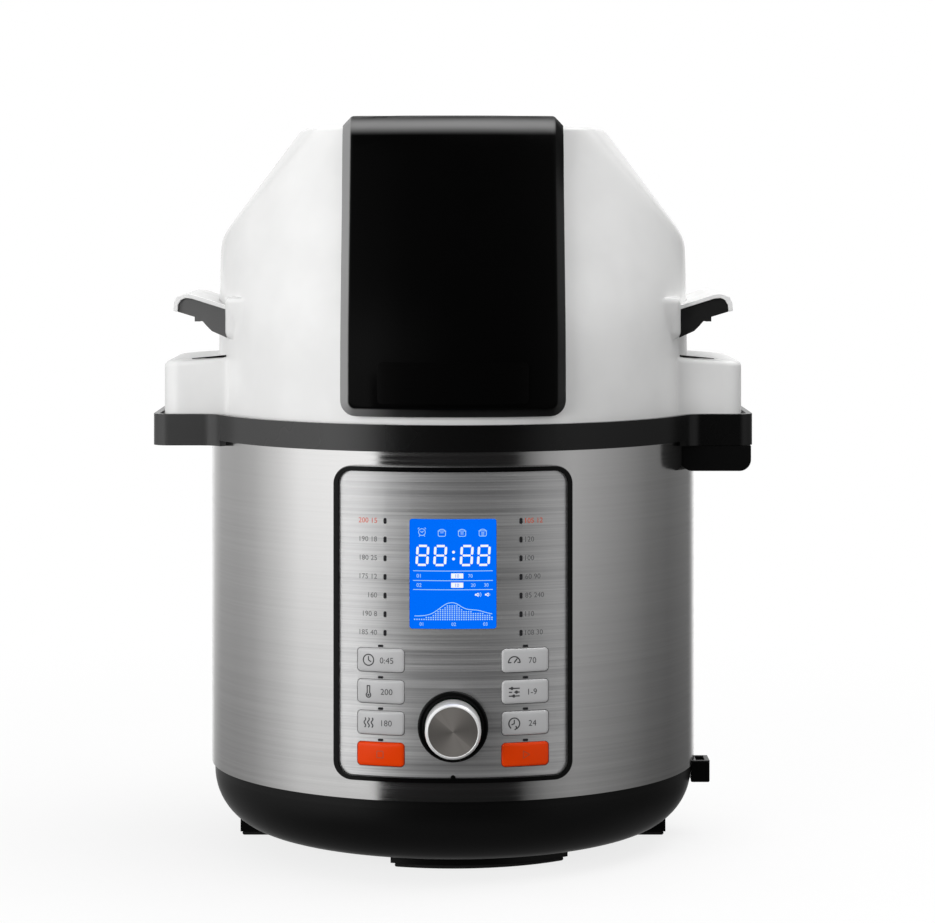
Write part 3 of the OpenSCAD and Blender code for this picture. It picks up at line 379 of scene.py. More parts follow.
def make_finishes():
    """Makes every material once, from the chosen colours."""
    sizes = bpy.context.scene.cooker_sizes
    chosen = bpy.context.scene.cooker_colours
    c = SimpleNamespace(**{k: tuple(getattr(chosen, k)) for k in CookerColours.__annotations__})
    black = c.housing_black
    hub = (0.0, -0.16, 0.0921)  # the knob's middle
    for name, kind, *values in (
        ("lid_white", moulded, c.lid_white, 0.26, 0.000006, 0.05),
        ("housing_black", moulded, black, 0.33, 0.00002, 0.08, 0.22),
        # painted light: the ring's colour is lighter toward its left
        ("ring_black", satin, black, -0.025, -0.075, 16.0, 0.27, 0.4),
        ("frame_black", moulded, mixed(black, 0.7), 0.2, 0.000004, 0.05, 0.16),
        ("fascia_black", gloss_black, c.fascia_black, sizes.fascia_half, sizes.fascia_low),
        ("insert_black", moulded, mixed(black, 0.45), 0.2, 0.000004, 0.05, 0.12),
        # painted light: the left grip's colour is lighter than the right one's
        ("wing_grey", satin, c.wing_grey, 0.02, -0.02, 8.0, 0.42, 0.3),
        ("body_steel", brushed, c.body_steel, 0.14, 0.2, 0.05),
        ("plate_steel", brushed, c.plate_steel, 0.38, 0.16, 0.22, 0.9),
        ("button_grey", moulded, c.button_grey, 0.24, 0.00001, 0.06, 0.9),
        ("button_orange", moulded, c.button_orange, 0.25, 0.00001, 0.06, 0.2),
        ("ink_dark", printed, c.ink_dark),
        ("ink_key", printed, (0.05, 0.05, 0.052)),
        ("ink_red", printed, c.ink_red),
        ("ink_on_orange", printed, (0.5, 0.055, 0.012)),
        ("knob_side", turned, (0.6, 0.6, 0.59), 0.45, hub, 0.0012, 0.00001, 0.3),
        ("knob_bright", turned, (0.95, 0.95, 0.95), 0.3, hub, 0.0005, 0.0, 0.25),
        # the knob's face carries painted fan-shaped highlights
        ("knob_face", turned, (0.16, 0.15, 0.14), 0.4, hub, 0.00022, 0.00002, 0.5, 0.9),
        ("screen_blue", printed, c.screen_blue, 1.0, 0.16),
        ("screen_white", printed, c.screen_white, 1.0, 0.2),
        ("screen_pale", printed, (0.42, 0.7, 1.0), 1.0, 0.2),
        ("rubber", moulded, c.rubber_black, 0.75, 0.0001, 0.1),
        ("silicone", moulded, (0.2, 0.21, 0.22), 0.6, 0.00003, 0.1),
        ("cup_clear", moulded, (0.5, 0.52, 0.54), 0.18, 0.00001, 0.05),
        ("board_green", moulded, (0.02, 0.11, 0.04), 0.4, 0.00005, 0.1),
        ("ceramic", moulded, (0.68, 0.67, 0.62), 0.6, 0.00003, 0.1),
        ("lens", moulded, (0.02, 0.02, 0.022), 0.2, 0.0, 0.04),
        ("basket_coat", moulded, (0.03, 0.031, 0.033), 0.5, 0.00008, 0.1),
        ("aluminium", cast_metal, c.aluminium, 0.42, 0.00005, 0.6),
        ("steel_bright", cast_metal, (0.7, 0.7, 0.7), 0.27, 0.00003, 0.85),
        ("steel_dark", cast_metal, (0.14, 0.13, 0.125), 0.45),
        ("coil_metal", cast_metal, (0.09, 0.07, 0.06), 0.5, 0.0001),
    ):
        FINISHES[name] = kind(name, *values)


# the CAD nodes that take each finish; the buttons are told apart by their number
FINISHED_NODES = {
    "housing_black": "base_tray connector_housing connector_socket spoon_bracket mains_inlet"
    " cup_bracket display_module lid_underplate cooling_fan coupler_plug rear_grille",
    "rubber": "foot_pad_front foot_pad_rear foot_pad_left foot_pad_right",
    "body_steel": "outer_shell",
    "ring_black": "rim_ring",
    "cup_clear": "condensate_cup",
    "frame_black": "panel_frame knob_bezel",
    "plate_steel": "panel_plate",
    "screen_blue": "display_window",
    "board_green": "control_board power_board",
    "lens": "light_guide_left light_guide_right",
    "aluminium": "knob cooking_chamber heating_plate sensor_plunger hot_fan",
    "steel_bright": "tray_screws encoder sensor_spring inner_pot heat_shield coil_guard"
    " fan_shaft motor_bracket temp_probe",
    "steel_dark": "motor",
    "ceramic": "thermal_fuse",
    "basket_coat": "basket",
    "lid_white": "lid_housing wing_cover_left wing_cover_right",
    "fascia_black": "fascia",
    "insert_black": "fascia_insert",
    "silicone": "seal_ring",
    "coil_metal": "heating_coil",
    "wing_grey": "wing_left wing_right",
}
NODE_FINISH = {
    node: finish for finish, nodes in FINISHED_NODES.items() for node in nodes.split()
}


# ---- mesh helpers: work is in millimetres and is scaled to metres when a piece is done


def moved(bm, x, y, z):
    bmesh.ops.translate(bm, vec=(x, y, z), verts=bm.verts)
    return bm


def as_mesh(name, bm):
    mesh = bpy.data.meshes.new(name)
    bm.to_mesh(mesh)
    bm.free()
    return mesh


def linked(name, data):
    """A new object in the scene."""
    made = bpy.data.objects.new(name, data)
    bpy.context.scene.collection.objects.link(made)
    return made


def finished(name, bm, finish, body, replaces=(), slot=None, sharp=35.0):
    """Turns a bmesh into a piece that rides on a body, with its place in its mesh."""
    bmesh.ops.remove_doubles(bm, verts=bm.verts, dist=0.0005)
    bmesh.ops.recalc_face_normals(bm, faces=bm.faces)
    bmesh.ops.scale(bm, vec=(MM,) * 3, verts=bm.verts)
    mesh = as_mesh(name, bm)
    smoothed(mesh, sharp)
    mesh.materials.append(FINISHES[finish])
    piece = linked(name, mesh)
    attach(piece, body)
    if replaces:
        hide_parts(*replaces)
    return piece


def smoothed(mesh, sharp):
    mesh.shade_smooth()
    mesh.set_sharp_from_angle(angle=math.radians(sharp))


def middle_height(node):
    """Height of a CAD node's middle, in millimetres."""
    low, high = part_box(node)
    return (low.z + high.z) / 2 / MM


def copied(node, sectors=0):
    """A merged copy of a CAD node's mesh, in millimetres.

    A ring is cut through its axis first, so that no flat face encloses the opening.
    """
    bm = bmesh.new()
    bm.from_mesh(frame["nodes"][node].data)
    bmesh.ops.scale(bm, vec=(1 / MM,) * 3, verts=bm.verts)
    bmesh.ops.remove_doubles(bm, verts=bm.verts, dist=0.003)
    for index in range(sectors):
        turn = math.pi * (index + 0.5) / sectors
        cut = bmesh.ops.bisect_plane(
            bm,
            geom=bm.verts[:] + bm.edges[:] + bm.faces[:],
            dist=0.001,
            plane_no=(math.cos(turn), math.sin(turn), 0),
        )
        for part in cut["geom_cut"]:
            if isinstance(part, bmesh.types.BMEdge):
                part.seam = True
    bmesh.ops.dissolve_limit(
        bm,
        angle_limit=math.radians(0.6),
        verts=bm.verts,
        edges=bm.edges,
        delimit={"NORMAL", "SEAM"},
    )
    return bm


def rounded(piece, width, angle=40.0):
    """Rounds the piece's sharp edges."""
    soft = piece.modifiers.new("edges", "BEVEL")
    soft.width = width * MM
    soft.segments = 3
    soft.limit_method = "ANGLE"
    soft.angle_limit = math.radians(angle)
    soft.harden_normals = True


def sheet(columns, rows, place):
    """A grid whose corners are placed by a function of its column and row numbers."""
    bm = bmesh.new()
    bmesh.ops.create_grid(bm, x_segments=columns, y_segments=rows, size=1.0)
    for v in bm.verts:
        v.co = place(round((v.co.x + 1) / 2 * columns), round((v.co.y + 1) / 2 * rows))
    return bm


def carved(piece, cutter):
    """Cuts one closed piece's volume out of another."""
    cut = piece.modifiers.new("cut", "BOOLEAN")
    cut.object = cutter
    cut.solver = "EXACT"
    graph = bpy.context.evaluated_depsgraph_get()
    old = piece.data
    mesh = bpy.data.meshes.new_from_object(piece.evaluated_get(graph))
    piece.modifiers.clear()
    piece.data = mesh
    bpy.data.meshes.remove(old)
    bpy.data.objects.remove(cutter)


def quarter_round(depth, radius):
    """How far a rounded edge draws in at this depth below its top."""
    return radius - math.sqrt(max(0.0, radius**2 - (radius - min(depth, radius)) ** 2))


def inward(x, h, half, corner):
    """Distance in from a rounded rectangle's outline, h from its end."""
    if h < corner and abs(x) > half - corner:
        return max(0.0, corner - math.hypot(abs(x) - (half - corner), corner - h))
    return min(half - quarter_round(h, corner) - abs(x), h)


def spread(half, steps, count):
    """Places across a form, close together at its edges."""
    inner = half - steps[-1]
    middle = [-inner + 2 * inner * n / count for n in range(1, count)]
    return [e - half for e in steps] + middle + [half - e for e in reversed(steps)]


def least(power, *values):
    """A smooth least value: larger powers round the meeting less."""
    return sum(v**-power for v in values) ** (-1 / power)


def most(power, *values):
    """A smooth greatest value."""
    top = max(values)
    return top * sum((v / top) ** power for v in values) ** (1 / power)


def lathe(profile, steps):
    """A closed turned form from a half profile of (radius, height) points."""
    bm = bmesh.new()
    points = [bm.verts.new((r, 0.0, h)) for r, h in profile]
    edges = [bm.edges.new(pair) for pair in zip(points, points[1:])]
    bmesh.ops.spin(
        bm,
        geom=points + edges,
        axis=(0, 0, 1),
        cent=(0, 0, 0),
        angle=math.tau,
        steps=steps,
        use_merge=True,
    )
    return bm


def faced(bm, height):
    """Turns an upright form to point out of the front, on an axis at this height."""
    bmesh.ops.rotate(bm, verts=bm.verts, matrix=Matrix.Rotation(math.pi / 2, 3, "X"))
    return moved(bm, 0, 0, height)


KEY_RISE = 0.9  # height of a key's rounded edge
KEY_CROWN = 0.35  # height of its middle beyond that


def key_dome(x, y):
    """Height of a key's crown at a place from -1 to 1 each way."""
    return KEY_CROWN * (1 - x**2) * (1 - y**2)


def key_top(half_w, half_h):
    """A crowned key top over a rounded rectangle, with a skirt below it."""
    corner, edge, skirt = 2.4, 1.7, 8.0
    steps = (0.0, 0.06, 0.2, 0.42, 0.72, 1.1, 1.6, 2.3, 3.2)
    across, up = spread(half_w, steps, 8), spread(half_h, steps, 3)

    def place(i, j):
        y = up[j]
        gap = half_h - abs(y)
        x = across[i] * (half_w - quarter_round(gap, corner)) / half_w
        e = inward(x, gap, half_w, corner)
        if i in (0, len(across) - 1) or j in (0, len(up) - 1):
            e = 0.0
        height = KEY_RISE * math.sqrt(max(0.0, 1 - (1 - min(1.0, e / edge)) ** 2))
        return Vector((x, y, height + max(0.0, key_dome(x / half_w, y / half_h))))

    bm = sheet(len(across) - 1, len(up) - 1, place)
    bmesh.ops.remove_doubles(bm, verts=bm.verts, dist=0.0005)
    rim = [e for e in bm.edges if e.is_boundary]
    made = bmesh.ops.extrude_edge_only(bm, edges=rim)["geom"]
    low = [g for g in made if isinstance(g, bmesh.types.BMVert)]
    bmesh.ops.translate(bm, vec=(0, 0, -skirt), verts=low)
    bmesh.ops.holes_fill(bm, edges=[e for e in bm.edges if e.is_boundary], sides=0)
    return bm


def set_flat(bm, angle, height, radius):
    """Sets a flat form square on the front, at an angle round the body and a height."""
    turn = math.radians(angle)
    out = Vector((math.sin(turn), -math.cos(turn), 0))
    side = Vector((math.cos(turn), math.sin(turn), 0))
    for v in bm.verts:
        x, y, z = v.co
        v.co = out * (math.sqrt(radius**2 - x * x) + z) + side * x + Vector((0, 0, height + y))
    return bm


def set_round(bm, angle, height, radius):
    """Wraps a flat form round the body, at an angle and a height."""
    for v in bm.verts:
        x, y, z = v.co
        turn = math.radians(angle) + x / radius
        r = radius + z
        v.co = Vector((r * math.sin(turn), -r * math.cos(turn), height + y))
    return bm


class Marks:
    """Printed marks drawn flat with bars, discs and figures, in millimetres."""

    def __init__(self):
        self.bm = bmesh.new()

    def bar(self, start, end, width):
        a, b = Vector((*start, 0)), Vector((*end, 0))
        run = b - a
        place = (
            Matrix.Translation((a + b) / 2)
            @ Matrix.Rotation(math.atan2(run.y, run.x), 4, "Z")
            @ Matrix.Diagonal((max(run.length, 1e-3), width, 1, 1))
        )
        parts = max(1, round(run.length / 5))
        bmesh.ops.create_grid(self.bm, x_segments=parts, y_segments=1, size=0.5, matrix=place)
        return self

    def disc(self, x, y, radius, sides=14):
        place = Matrix.Translation((x, y, 0))
        bmesh.ops.create_circle(
            self.bm, cap_ends=True, segments=sides, radius=radius, matrix=place
        )
        return self

    def path(self, points, width, closed=False):
        ends = points[1:] + points[:1] if closed else points[1:]
        for start, end in zip(points, ends):
            self.bar(start, end, width)
        for x, y in points:
            self.disc(x, y, width / 2, 10)
        return self

    def arc(self, x, y, radius, width, first=0, last=360, steps=20):
        turns = [math.radians(first + (last - first) * n / steps) for n in range(steps + 1)]
        whole = last - first >= 360
        spots = [(x + radius * math.cos(t), y + radius * math.sin(t)) for t in turns]
        return self.path(spots[:-1] if whole else spots, width, whole)

    def figures(self, text, x, y, size, align=0.5):
        """Numbers of a cap height of size; align 0 starts at x, 1 ends there."""
        curve = bpy.data.curves.new("figures", "FONT")
        curve.body = text
        curve.size = size / 0.69
        curve.resolution_u = 3
        holder = bpy.data.objects.new("figures", curve)
        mesh = bpy.data.meshes.new_from_object(holder)
        bpy.data.objects.remove(holder)
        xs = [v.co.x for v in mesh.vertices]
        low, wide = min(xs), max(xs) - min(xs)
        for v in mesh.vertices:
            v.co = Vector((v.co.x - low - wide * align + x, v.co.y - size / 2 + y, 0))
        self.bm.from_mesh(mesh)
        bpy.data.meshes.remove(mesh)
        return self

    def raised(self, height=0.04):
        """Gives the marks their thickness."""
        bmesh.ops.recalc_face_normals(self.bm, faces=self.bm.faces)
        for f in self.bm.faces:
            if f.normal.z < 0:
                f.normal_flip()
        made = bmesh.ops.extrude_face_region(
            self.bm, geom=self.bm.faces[:], use_keep_orig=True
        )["geom"]
        tops = [g for g in made if isinstance(g, bmesh.types.BMVert)]
        bmesh.ops.translate(self.bm, vec=(0, 0, height), verts=tops)
        return self.bm


# ---- the lid's form


class LidForm:
    """The lid's outer surface as a distance from its axis, at an angle and a height."""

    EAR_CORNER, EAR_EDGE, EAR_LIFT = 10.0, 4.0, math.tan(math.radians(4))
    BOSS_LOW, BOSS_HIGH, BOSS_REACH, BOSS_EDGE = 311.0, 336.0, 137.5, 4.0
    SHOULDER_CENTRE = 135.0

    def __init__(self, sizes, inset=0.0):
        self.s = s = sizes
        self.inset = inset
        self.sin, self.cos = math.sin(LEAN), math.cos(LEAN)
        self.draft = math.tan(math.radians(1))
        front = s.lid_radius - (s.lean_height - s.lid_seat) * self.draft
        # where the leaning front's own axis stands
        self.y0 = s.lean_radius * self.cos - front
        self.z0 = s.lean_height - s.lean_radius * self.sin
        self.shoulder = s.lid_radius - 1.8
        self.slope = (self.shoulder - s.shoulder_half) / (s.lid_top - s.shoulder_height)

    def offset(self, z):
        """Distance from the leaning axis to this height, across the lean."""
        return self.y0 * self.cos + (z - self.z0) * self.sin

    def wall(self, a, z):
        """The plain wall: upright, leaning at the front, with a shoulder on each side."""
        s, t, far = self.s, self.inset, self.SHOULDER_CENTRE
        c, d = math.cos(a), math.sin(a)
        upright = s.lid_radius - (z - s.lid_seat + 3) * self.draft - t
        m = self.offset(z)
        r = s.lean_radius - t
        k = c * c + (self.cos * d) ** 2
        h = self.cos * d * m
        leaning = (h + math.sqrt(max(0.0, h * h - k * (m * m - r * r)))) / k
        q = far + self.shoulder - (z - s.shoulder_height) * self.slope - t * 1.18
        shoulders = -far * abs(c) + math.sqrt(far * far * (c * c - 1) + q * q)
        return least(70, upright, leaning, shoulders)

    def plan(self, a, reach, half, corner, inset):
        """Distance to a rounded rectangle in plan, drawn in by inset."""
        c, d = max(abs(math.cos(a)), 1e-6), abs(math.sin(a))
        x, h, r = reach - inset, half - inset, max(0.5, corner - inset)
        if d / c * x <= h - r:
            return x / c
        # the corner's arc
        cx, cy = x - r, h - r
        b = cx * c + cy * d
        disc = b * b - (cx * cx + cy * cy - r * r)
        if disc > 0:
            out = b + math.sqrt(disc)
            if out * c >= cx - 1e-6:
                return out
        return h / max(d, 1e-6)

    def radius(self, a, z):
        """The wall with its ears."""
        s, t, lift = self.s, self.inset, self.EAR_LIFT
        wall = self.wall(a, z)
        across = abs(math.cos(a))
        out, top = s.ear_reach - t, s.ear_top - t
        if across <= 0.75 or z >= top + (out - s.lid_radius) * lift + 1.2:
            return wall
        # the ear's top rises toward the lid, and its edge is rounded
        half, corner = s.ear_half - t, self.EAR_CORNER - t
        rough = min(self.plan(a, out, half, corner, 0) * across, out)
        fall = max(top + (out - rough) * lift - z, 0.0)
        ear = self.plan(a, out, half, corner, quarter_round(fall, self.EAR_EDGE))
        sloped = (out + (top - z) / lift) / across
        return most(90, wall, least(110, ear, max(sloped, 1.0)))

    def boss(self, a, z):
        """Distance to the white root of a wing."""
        low, high = self.BOSS_LOW, self.BOSS_HIGH
        if not low < z < high or abs(math.cos(a)) < 0.7:
            return 0.0
        inset = quarter_round(min(z - low, high - z), self.BOSS_EDGE)
        half = 60.0 + 8.0 * (z - low) / (high - low)
        return self.plan(a, self.BOSS_REACH - self.inset, half, 5.0, inset)


def lid_angles():
    """Columns round the lid: close together where an ear's corners and roots are."""
    quarter, a = [], 0.0
    while a < 90.0:
        quarter.append(a)
        a += 1.4 if a < 11 else 0.28 if a < 26 else 1.8
    half = sorted(set(quarter + [90.0] + [180.0 - q for q in quarter]))
    whole = sorted(set(half + [-q for q in half if 0 < q < 180]))
    return [math.radians(v) for v in whole]


def lid_heights(seat, top):
    """Rows up the lid: close together at the ears' tops and the wings' roots."""
    levels = [seat + h for h in (0, 0.5, 3, 10, 18, 25)]
    steps = ((300.5, 0.45), (310.5, 1.6), (337.0, 0.9), (355.0, 3.0), (math.inf, 2.6))
    z = seat + 27
    while z < top - 4.5:
        levels.append(z)
        z += next(step for limit, step in steps if z < limit)
    return levels


class COOKER_OT_lid(bpy.types.Operator):
    """White lid housing with its shoulders, ears and wing roots"""

    bl_idname = "cooker.lid"
    bl_label = "Lid housing"

    def execute(self, context):
        s = in_mm(context)
        seat, top, wall = s.lid_seat, s.lid_top, s.lid_wall
        angles = lid_angles()
        outer, inner = LidForm(s), LidForm(s, wall)
        rings = [
            [(most(70, outer.radius(a, z), outer.boss(a, z)), z) for a in angles]
            for z in lid_heights(seat, top)
        ]
        edge, steps = 2.6, 7
        for n in range(steps + 1):
            t = n / steps * math.pi / 2
            z = top - edge + edge * math.sin(t)
            draw = edge * (1 - math.cos(t))
            rings.append([(outer.wall(a, z) - draw, z) for a in angles])
        self.close(rings, (0.9, 0.7, 0.45, 0.2, 0.0))
        inside = []
        z = seat
        while z < top - wall - 2:
            inside.append([(inner.radius(a, z), z) for a in angles])
            z += 1.5 if 288 < z < 300 else 7  # finer at the tops of the ears
        inside.append([(inner.wall(a, top - wall) - 1.5, top - wall) for a in angles])
        self.close(inside, (0.7, 0.0))
        rows = inside[::-1] + rings
        columns = len(angles)

        def place(i, j):
            a = angles[i % columns]
            r, z = rows[j][i % columns]
            return Vector((r * math.cos(a), r * math.sin(a), z))

        bm = sheet(columns, len(rows) - 1, place)
        slot, sharp = "white_plastic", 42
        lid = finished("lid_shell", bm, "lid_white", "lid", ["lid_housing"], slot, sharp)
        # the opening for the rear grille
        cutter = bmesh.new()
        bmesh.ops.create_cube(cutter, size=1.0)
        bmesh.ops.scale(cutter, vec=(96, 60, 60), verts=cutter.verts)
        moved(cutter, 0, 140, 372)
        edges = [e for e in cutter.edges if abs(e.verts[0].co.y - e.verts[1].co.y) > 1]
        bmesh.ops.bevel(
            cutter, geom=edges, offset=6, segments=6, profile=0.5, affect="EDGES", material=-1
        )
        carved(lid, finished("lid_cutter", cutter, "lid_white", "lid"))
        smoothed(lid.data, sharp)
        return {"FINISHED"}

    def close(self, rings, shares):
        """Adds flat rings from the last one in to the axis."""
        rim = rings[-1]
        rings += [[(r * share, z) for r, z in rim] for share in shares]


class COOKER_OT_fascia(bpy.types.Operator):
    """Thick black fascia over the lid's front and top"""

    bl_idname = "cooker.fascia"
    bl_label = "Fascia"

    def execute(self, context):
        s = in_mm(context)
        half, radius, low, top = s.fascia_half, s.fascia_radius, s.fascia_low, s.fascia_top
        form = LidForm(s)
        centre = 300.0  # height of the line that the rows turn about
        corner, slope, depth, soft = 9.0, 5.4, 11.0, 1.3
        back = s.lid_radius - 7.0
        drop = form.offset(centre)
        insets = [0.0, 0.4, 1.2, 2.4, 3.6, 4.6, 5.0, 5.4, 5.8, 6.3, 7.5, 12.0]
        across = spread(half, insets, 14)
        heights = insets[:-1] + [9.0, 11.5, 15.0]
        turns = 46

        def reach(x, t, r, lean_r, lid):
            """Distance from the turning line to the outer form."""
            up, tilt = math.cos(t), math.cos(t - LEAN)
            upright = math.sqrt(max(1.0, r * r - x * x)) / max(up, 1e-3)
            leaning = (math.sqrt(max(1.0, lean_r**2 - x * x)) - drop) / max(tilt, 1e-3)
            front = 1e6
            if tilt > 0.02:
                front = least(34, leaning, upright) if up > 0.02 else leaning
            if math.sin(t) > 0.02:
                front = least(45, front, (lid - centre) / math.sin(t))
            return front

        def rising(x, h):
            """The turn at a height above the lower edge."""
            return -math.atan2(centre - low - h, math.sqrt(radius**2 - x * x))

        def spot(i, j, inner):
            straight = j < len(heights)
            h = heights[j] if straight else 50.0
            x = across[i] * (half - quarter_round(h, corner)) / half
            if straight:
                t = rising(x, h)
            else:
                first = rising(x, heights[-1])
                last = math.atan2(top - centre, -math.sqrt(back**2 - x * x))
                t = first + (last - first) * (j - len(heights) + 1) / turns
            e = inward(x, h, half, corner)
            if i in (0, len(across) - 1) or j == 0:
                e = 0.0
            r = reach(x, t, radius, s.fascia_lean, top)
            if inner:
                lid = reach(x, t, s.lid_radius - 0.6, s.lean_radius + 0.1, s.lid_top + 0.1)
                r = min(lid, r - depth - 1.0)
            else:
                # the rim slopes in, and less steeply over the top plate
                rise = min(1.0, max(0.0, (t - 0.72) / 0.2))
                sunk = (depth - 4.8 * rise * rise * (3 - 2 * rise)) * (1 - e / slope)
                if abs(sunk) < soft:
                    sunk = (sunk + soft) ** 2 / (4 * soft)
                sunk = max(0.0, sunk)
                if straight:
                    return Vector((x, -(r * math.cos(t) - sunk), low + h))
                r -= sunk
            return Vector((x, -r * math.cos(t), centre + r * math.sin(t)))

        columns, rows = len(across) - 1, len(heights) - 1 + turns
        bm = sheet(columns, rows, lambda i, j: spot(i, j, False))
        inner = sheet(columns, rows, lambda i, j: spot(i, j, True))
        mesh = as_mesh("fascia_back", inner)
        bm.from_mesh(mesh)
        bpy.data.meshes.remove(mesh)
        bmesh.ops.bridge_loops(bm, edges=[e for e in bm.edges if e.is_boundary])
        black = "fascia_black"
        finished("fascia_cover", bm, black, "lid", ["fascia"], black, sharp=50)
        return {"FINISHED"}


class COOKER_OT_mouldings(bpy.types.Operator):
    """Mouldings with softened edges: ring, ear block, grips, spoon holder and feet"""

    bl_idname = "cooker.mouldings"
    bl_label = "Mouldings"

    def execute(self, context):
        ear_top, white = in_mm(context).ear_top, "white_plastic"
        words = [word for _, word in SIDES]
        rows = [
            ("rim_ring", "ring", "ring_black", "base", "ring_plastic", 1.1),
            ("connector_housing", "ear_block", "housing_black", "base", "ring_plastic", 0.8),
        ]
        for word in words:
            rows.append((f"wing_{word}", f"grip_{word}", "wing_grey", "lid", "wing_grey", 0.7))
        for word in words:
            cover = (f"wing_cover_{word}", f"grip_cover_{word}", "lid_white", "lid", white, 0.5)
            rows.append(cover)
        holder = ("spoon_bracket", "spoon_holder", "housing_black", "base", "black_plastic", 0.9)
        rows.append(holder)
        for word in ("front", "rear", *words):
            rows.append((f"foot_pad_{word}", f"foot_{word}", "rubber", "base", "rubber", 1.4))
        for node, name, finish, body, slot, width in rows:
            bm = copied(node, sectors=4 if name == "ring" else 0)
            rounded(finished(name, bm, finish, body, [node], slot, sharp=30), width)
        # the spring under the sensor gets a mesh of its own; the share of its length that stays
        # at full press is worked out but not applied
        low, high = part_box("sensor_spring")
        spring = finished(
            "plunger_spring", copied("sensor_spring"), "steel_bright", "base", ["sensor_spring"]
        )
        press = next(j for j in frame["joints"] if j["name"] == "sensor_press")["range_m"]
        keep = 1 - (press[1] - press[0]) / (high.z - low.z)
        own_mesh(spring)
        for side, word in SIDES:
            # a dark sliver along the front top edge of each ear of the lid: painted shade in the
            # gap where the ear meets the wall
            bm = bmesh.new()
            tilt = Matrix.Rotation(side * math.radians(94), 4, "Y")
            bmesh.ops.create_cone(
                bm, cap_ends=True, segments=4, radius1=0.75, radius2=0.2, depth=21.0, matrix=tilt
            )
            moved(bm, side * 148.5, -47.6, ear_top + 1.85)
            finished(f"ear_joint_{word}", bm, "housing_black", "lid", slot=white)
        return {"FINISHED"}


class COOKER_OT_display(bpy.types.Operator):
    """Figures, signs and graph on the blue display"""

    bl_idname = "cooker.display"
    bl_label = "Display"

    def execute(self, context):
        radius = in_mm(context).panel_radius + 0.13
        middle = middle_height("display_window")
        white, pale, blue = Marks(), Marks(), Marks()
        small = 1.9  # height of the small figures
        for x in (-17.6, -7.35, 7.85, 17.75):
            self.digit(white, x, 10.65)
        for y in (12.6, 8.7):
            white.disc(0.3, y, 0.85)
        self.clock(pale, -17.9, 24.0)
        for n, x in enumerate((-6.4, 5.2, 17.1)):
            self.pot(pale, x, 23.9, n)
        for y in (1.75, -3.8, -9.0):
            pale.bar((-23.0, y), (22.9, y), 0.35)
        pale.figures("01", -21.0, -1.05, 2.1, 0.0).figures("02", -21.0, -6.4, 2.1, 0.0)
        for y in (-1.05, -6.35):
            white.bar((-1.1, y), (5.9, y), 2.9)
            blue.figures("10", 2.4, y, small)
        for x, waves in ((14.0, 2), (19.8, 1)):
            white.path([(x - 0.9, -11.9), (x + 0.5, -11.0), (x + 0.5, -12.8)], 0.4, True)
            white.bar((x - 1.4, -11.9), (x - 0.5, -11.9), 1.0)
            for n in range(waves):
                pale.arc(x + 0.6, -11.9, 0.8 + n * 0.8, 0.3, -45, 45, 6)
        # a graph of dots under its line
        curve, dot = [], 1.12
        for n in range(34):
            x = -22.1 + n * 1.35
            rise = 2.4 + 7.6 * math.exp(-((x + 1.6) / 8.4) ** 2)
            rise += 2.3 * math.exp(-((x - 13.5) / 6.5) ** 2) + 0.9 / (1 + math.exp(-x))
            curve.append((x, -26.6 + rise))
            for k in range(int((rise - 0.5) / dot)):
                pale.bar((x - 0.36, -26.1 + k * dot), (x + 0.36, -26.1 + k * dot), 0.66)
        pale.path(curve, 0.4)
        for text, x, y in (
            ("70", 10.0, -1.05), ("20", 11.6, -6.35), ("30", 19.2, -6.35),
            ("01", -18.2, -28.75), ("02", 0.4, -28.75), ("03", 18.6, -28.75),
        ):
            pale.figures(text, x, y, small)
        for name, marks, finish, lift in (
            ("display_figures", white, "screen_white", 0.0),
            ("display_signs", pale, "screen_pale", 0.0),
            ("display_insets", blue, "screen_blue", 0.05),
        ):
            bm = set_round(marks.raised(), 0.0, middle, radius + lift)
            finished(name, bm, finish, "base", slot="lcd")
        return {"FINISHED"}

    def digit(self, marks, x, y):
        """An eight of seven bars, leaning slightly."""
        w, h, t, lean, gap = 3.05, 5.45, 1.45, 0.06, 0.75

        def at(u, v):
            return (x + u + v * lean, y + v)

        for v in (-h, 0.0, h):
            marks.bar(at(-w + gap, v), at(w - gap, v), t * (0.9 if v else 0.8))
        for u in (-w, w):
            for v0, v1 in ((-h + gap, -gap), (gap, h - gap)):
                marks.path([at(u, v0 + 0.4), at(u, v1 - 0.4)], t)

    def clock(self, marks, x, y):
        """An alarm clock."""
        line = 0.34
        marks.arc(x, y, 1.95, line)
        marks.path([(x - 0.8, y + 0.5), (x, y - 0.2), (x + 0.9, y + 0.6)], line)
        for side, _ in SIDES:
            marks.bar((x + side * 1.1, y - 1.8), (x + side * 1.7, y - 2.5), line)
            marks.arc(x + side * 1.6, y + 1.8, 0.6, line, 45 - side * 45, 135 - side * 45, 6)

    def pot(self, marks, x, y, lines):
        """A pot with its lid, and one mark more than the lines given."""
        line, w, low, top = 0.34, 2.1, y - 1.7, y + 0.7
        left = [(x - w, top), (x - w, low), (x - w + 0.5, low - 0.5)]
        right = [(x + w - 0.5, low - 0.5), (x + w, low), (x + w, top)]
        marks.path(left + right, line)
        marks.bar((x - w - 0.3, y + 0.8), (x + w + 0.3, y + 0.8), line)
        marks.arc(x, y - 0.9, 2.7, line, 50, 130, 8)
        for n in range(lines + 1):
            marks.bar((x - 0.9, y - 0.2 - n * 0.7), (x + 0.9, y - 0.2 - n * 0.7), 0.3)


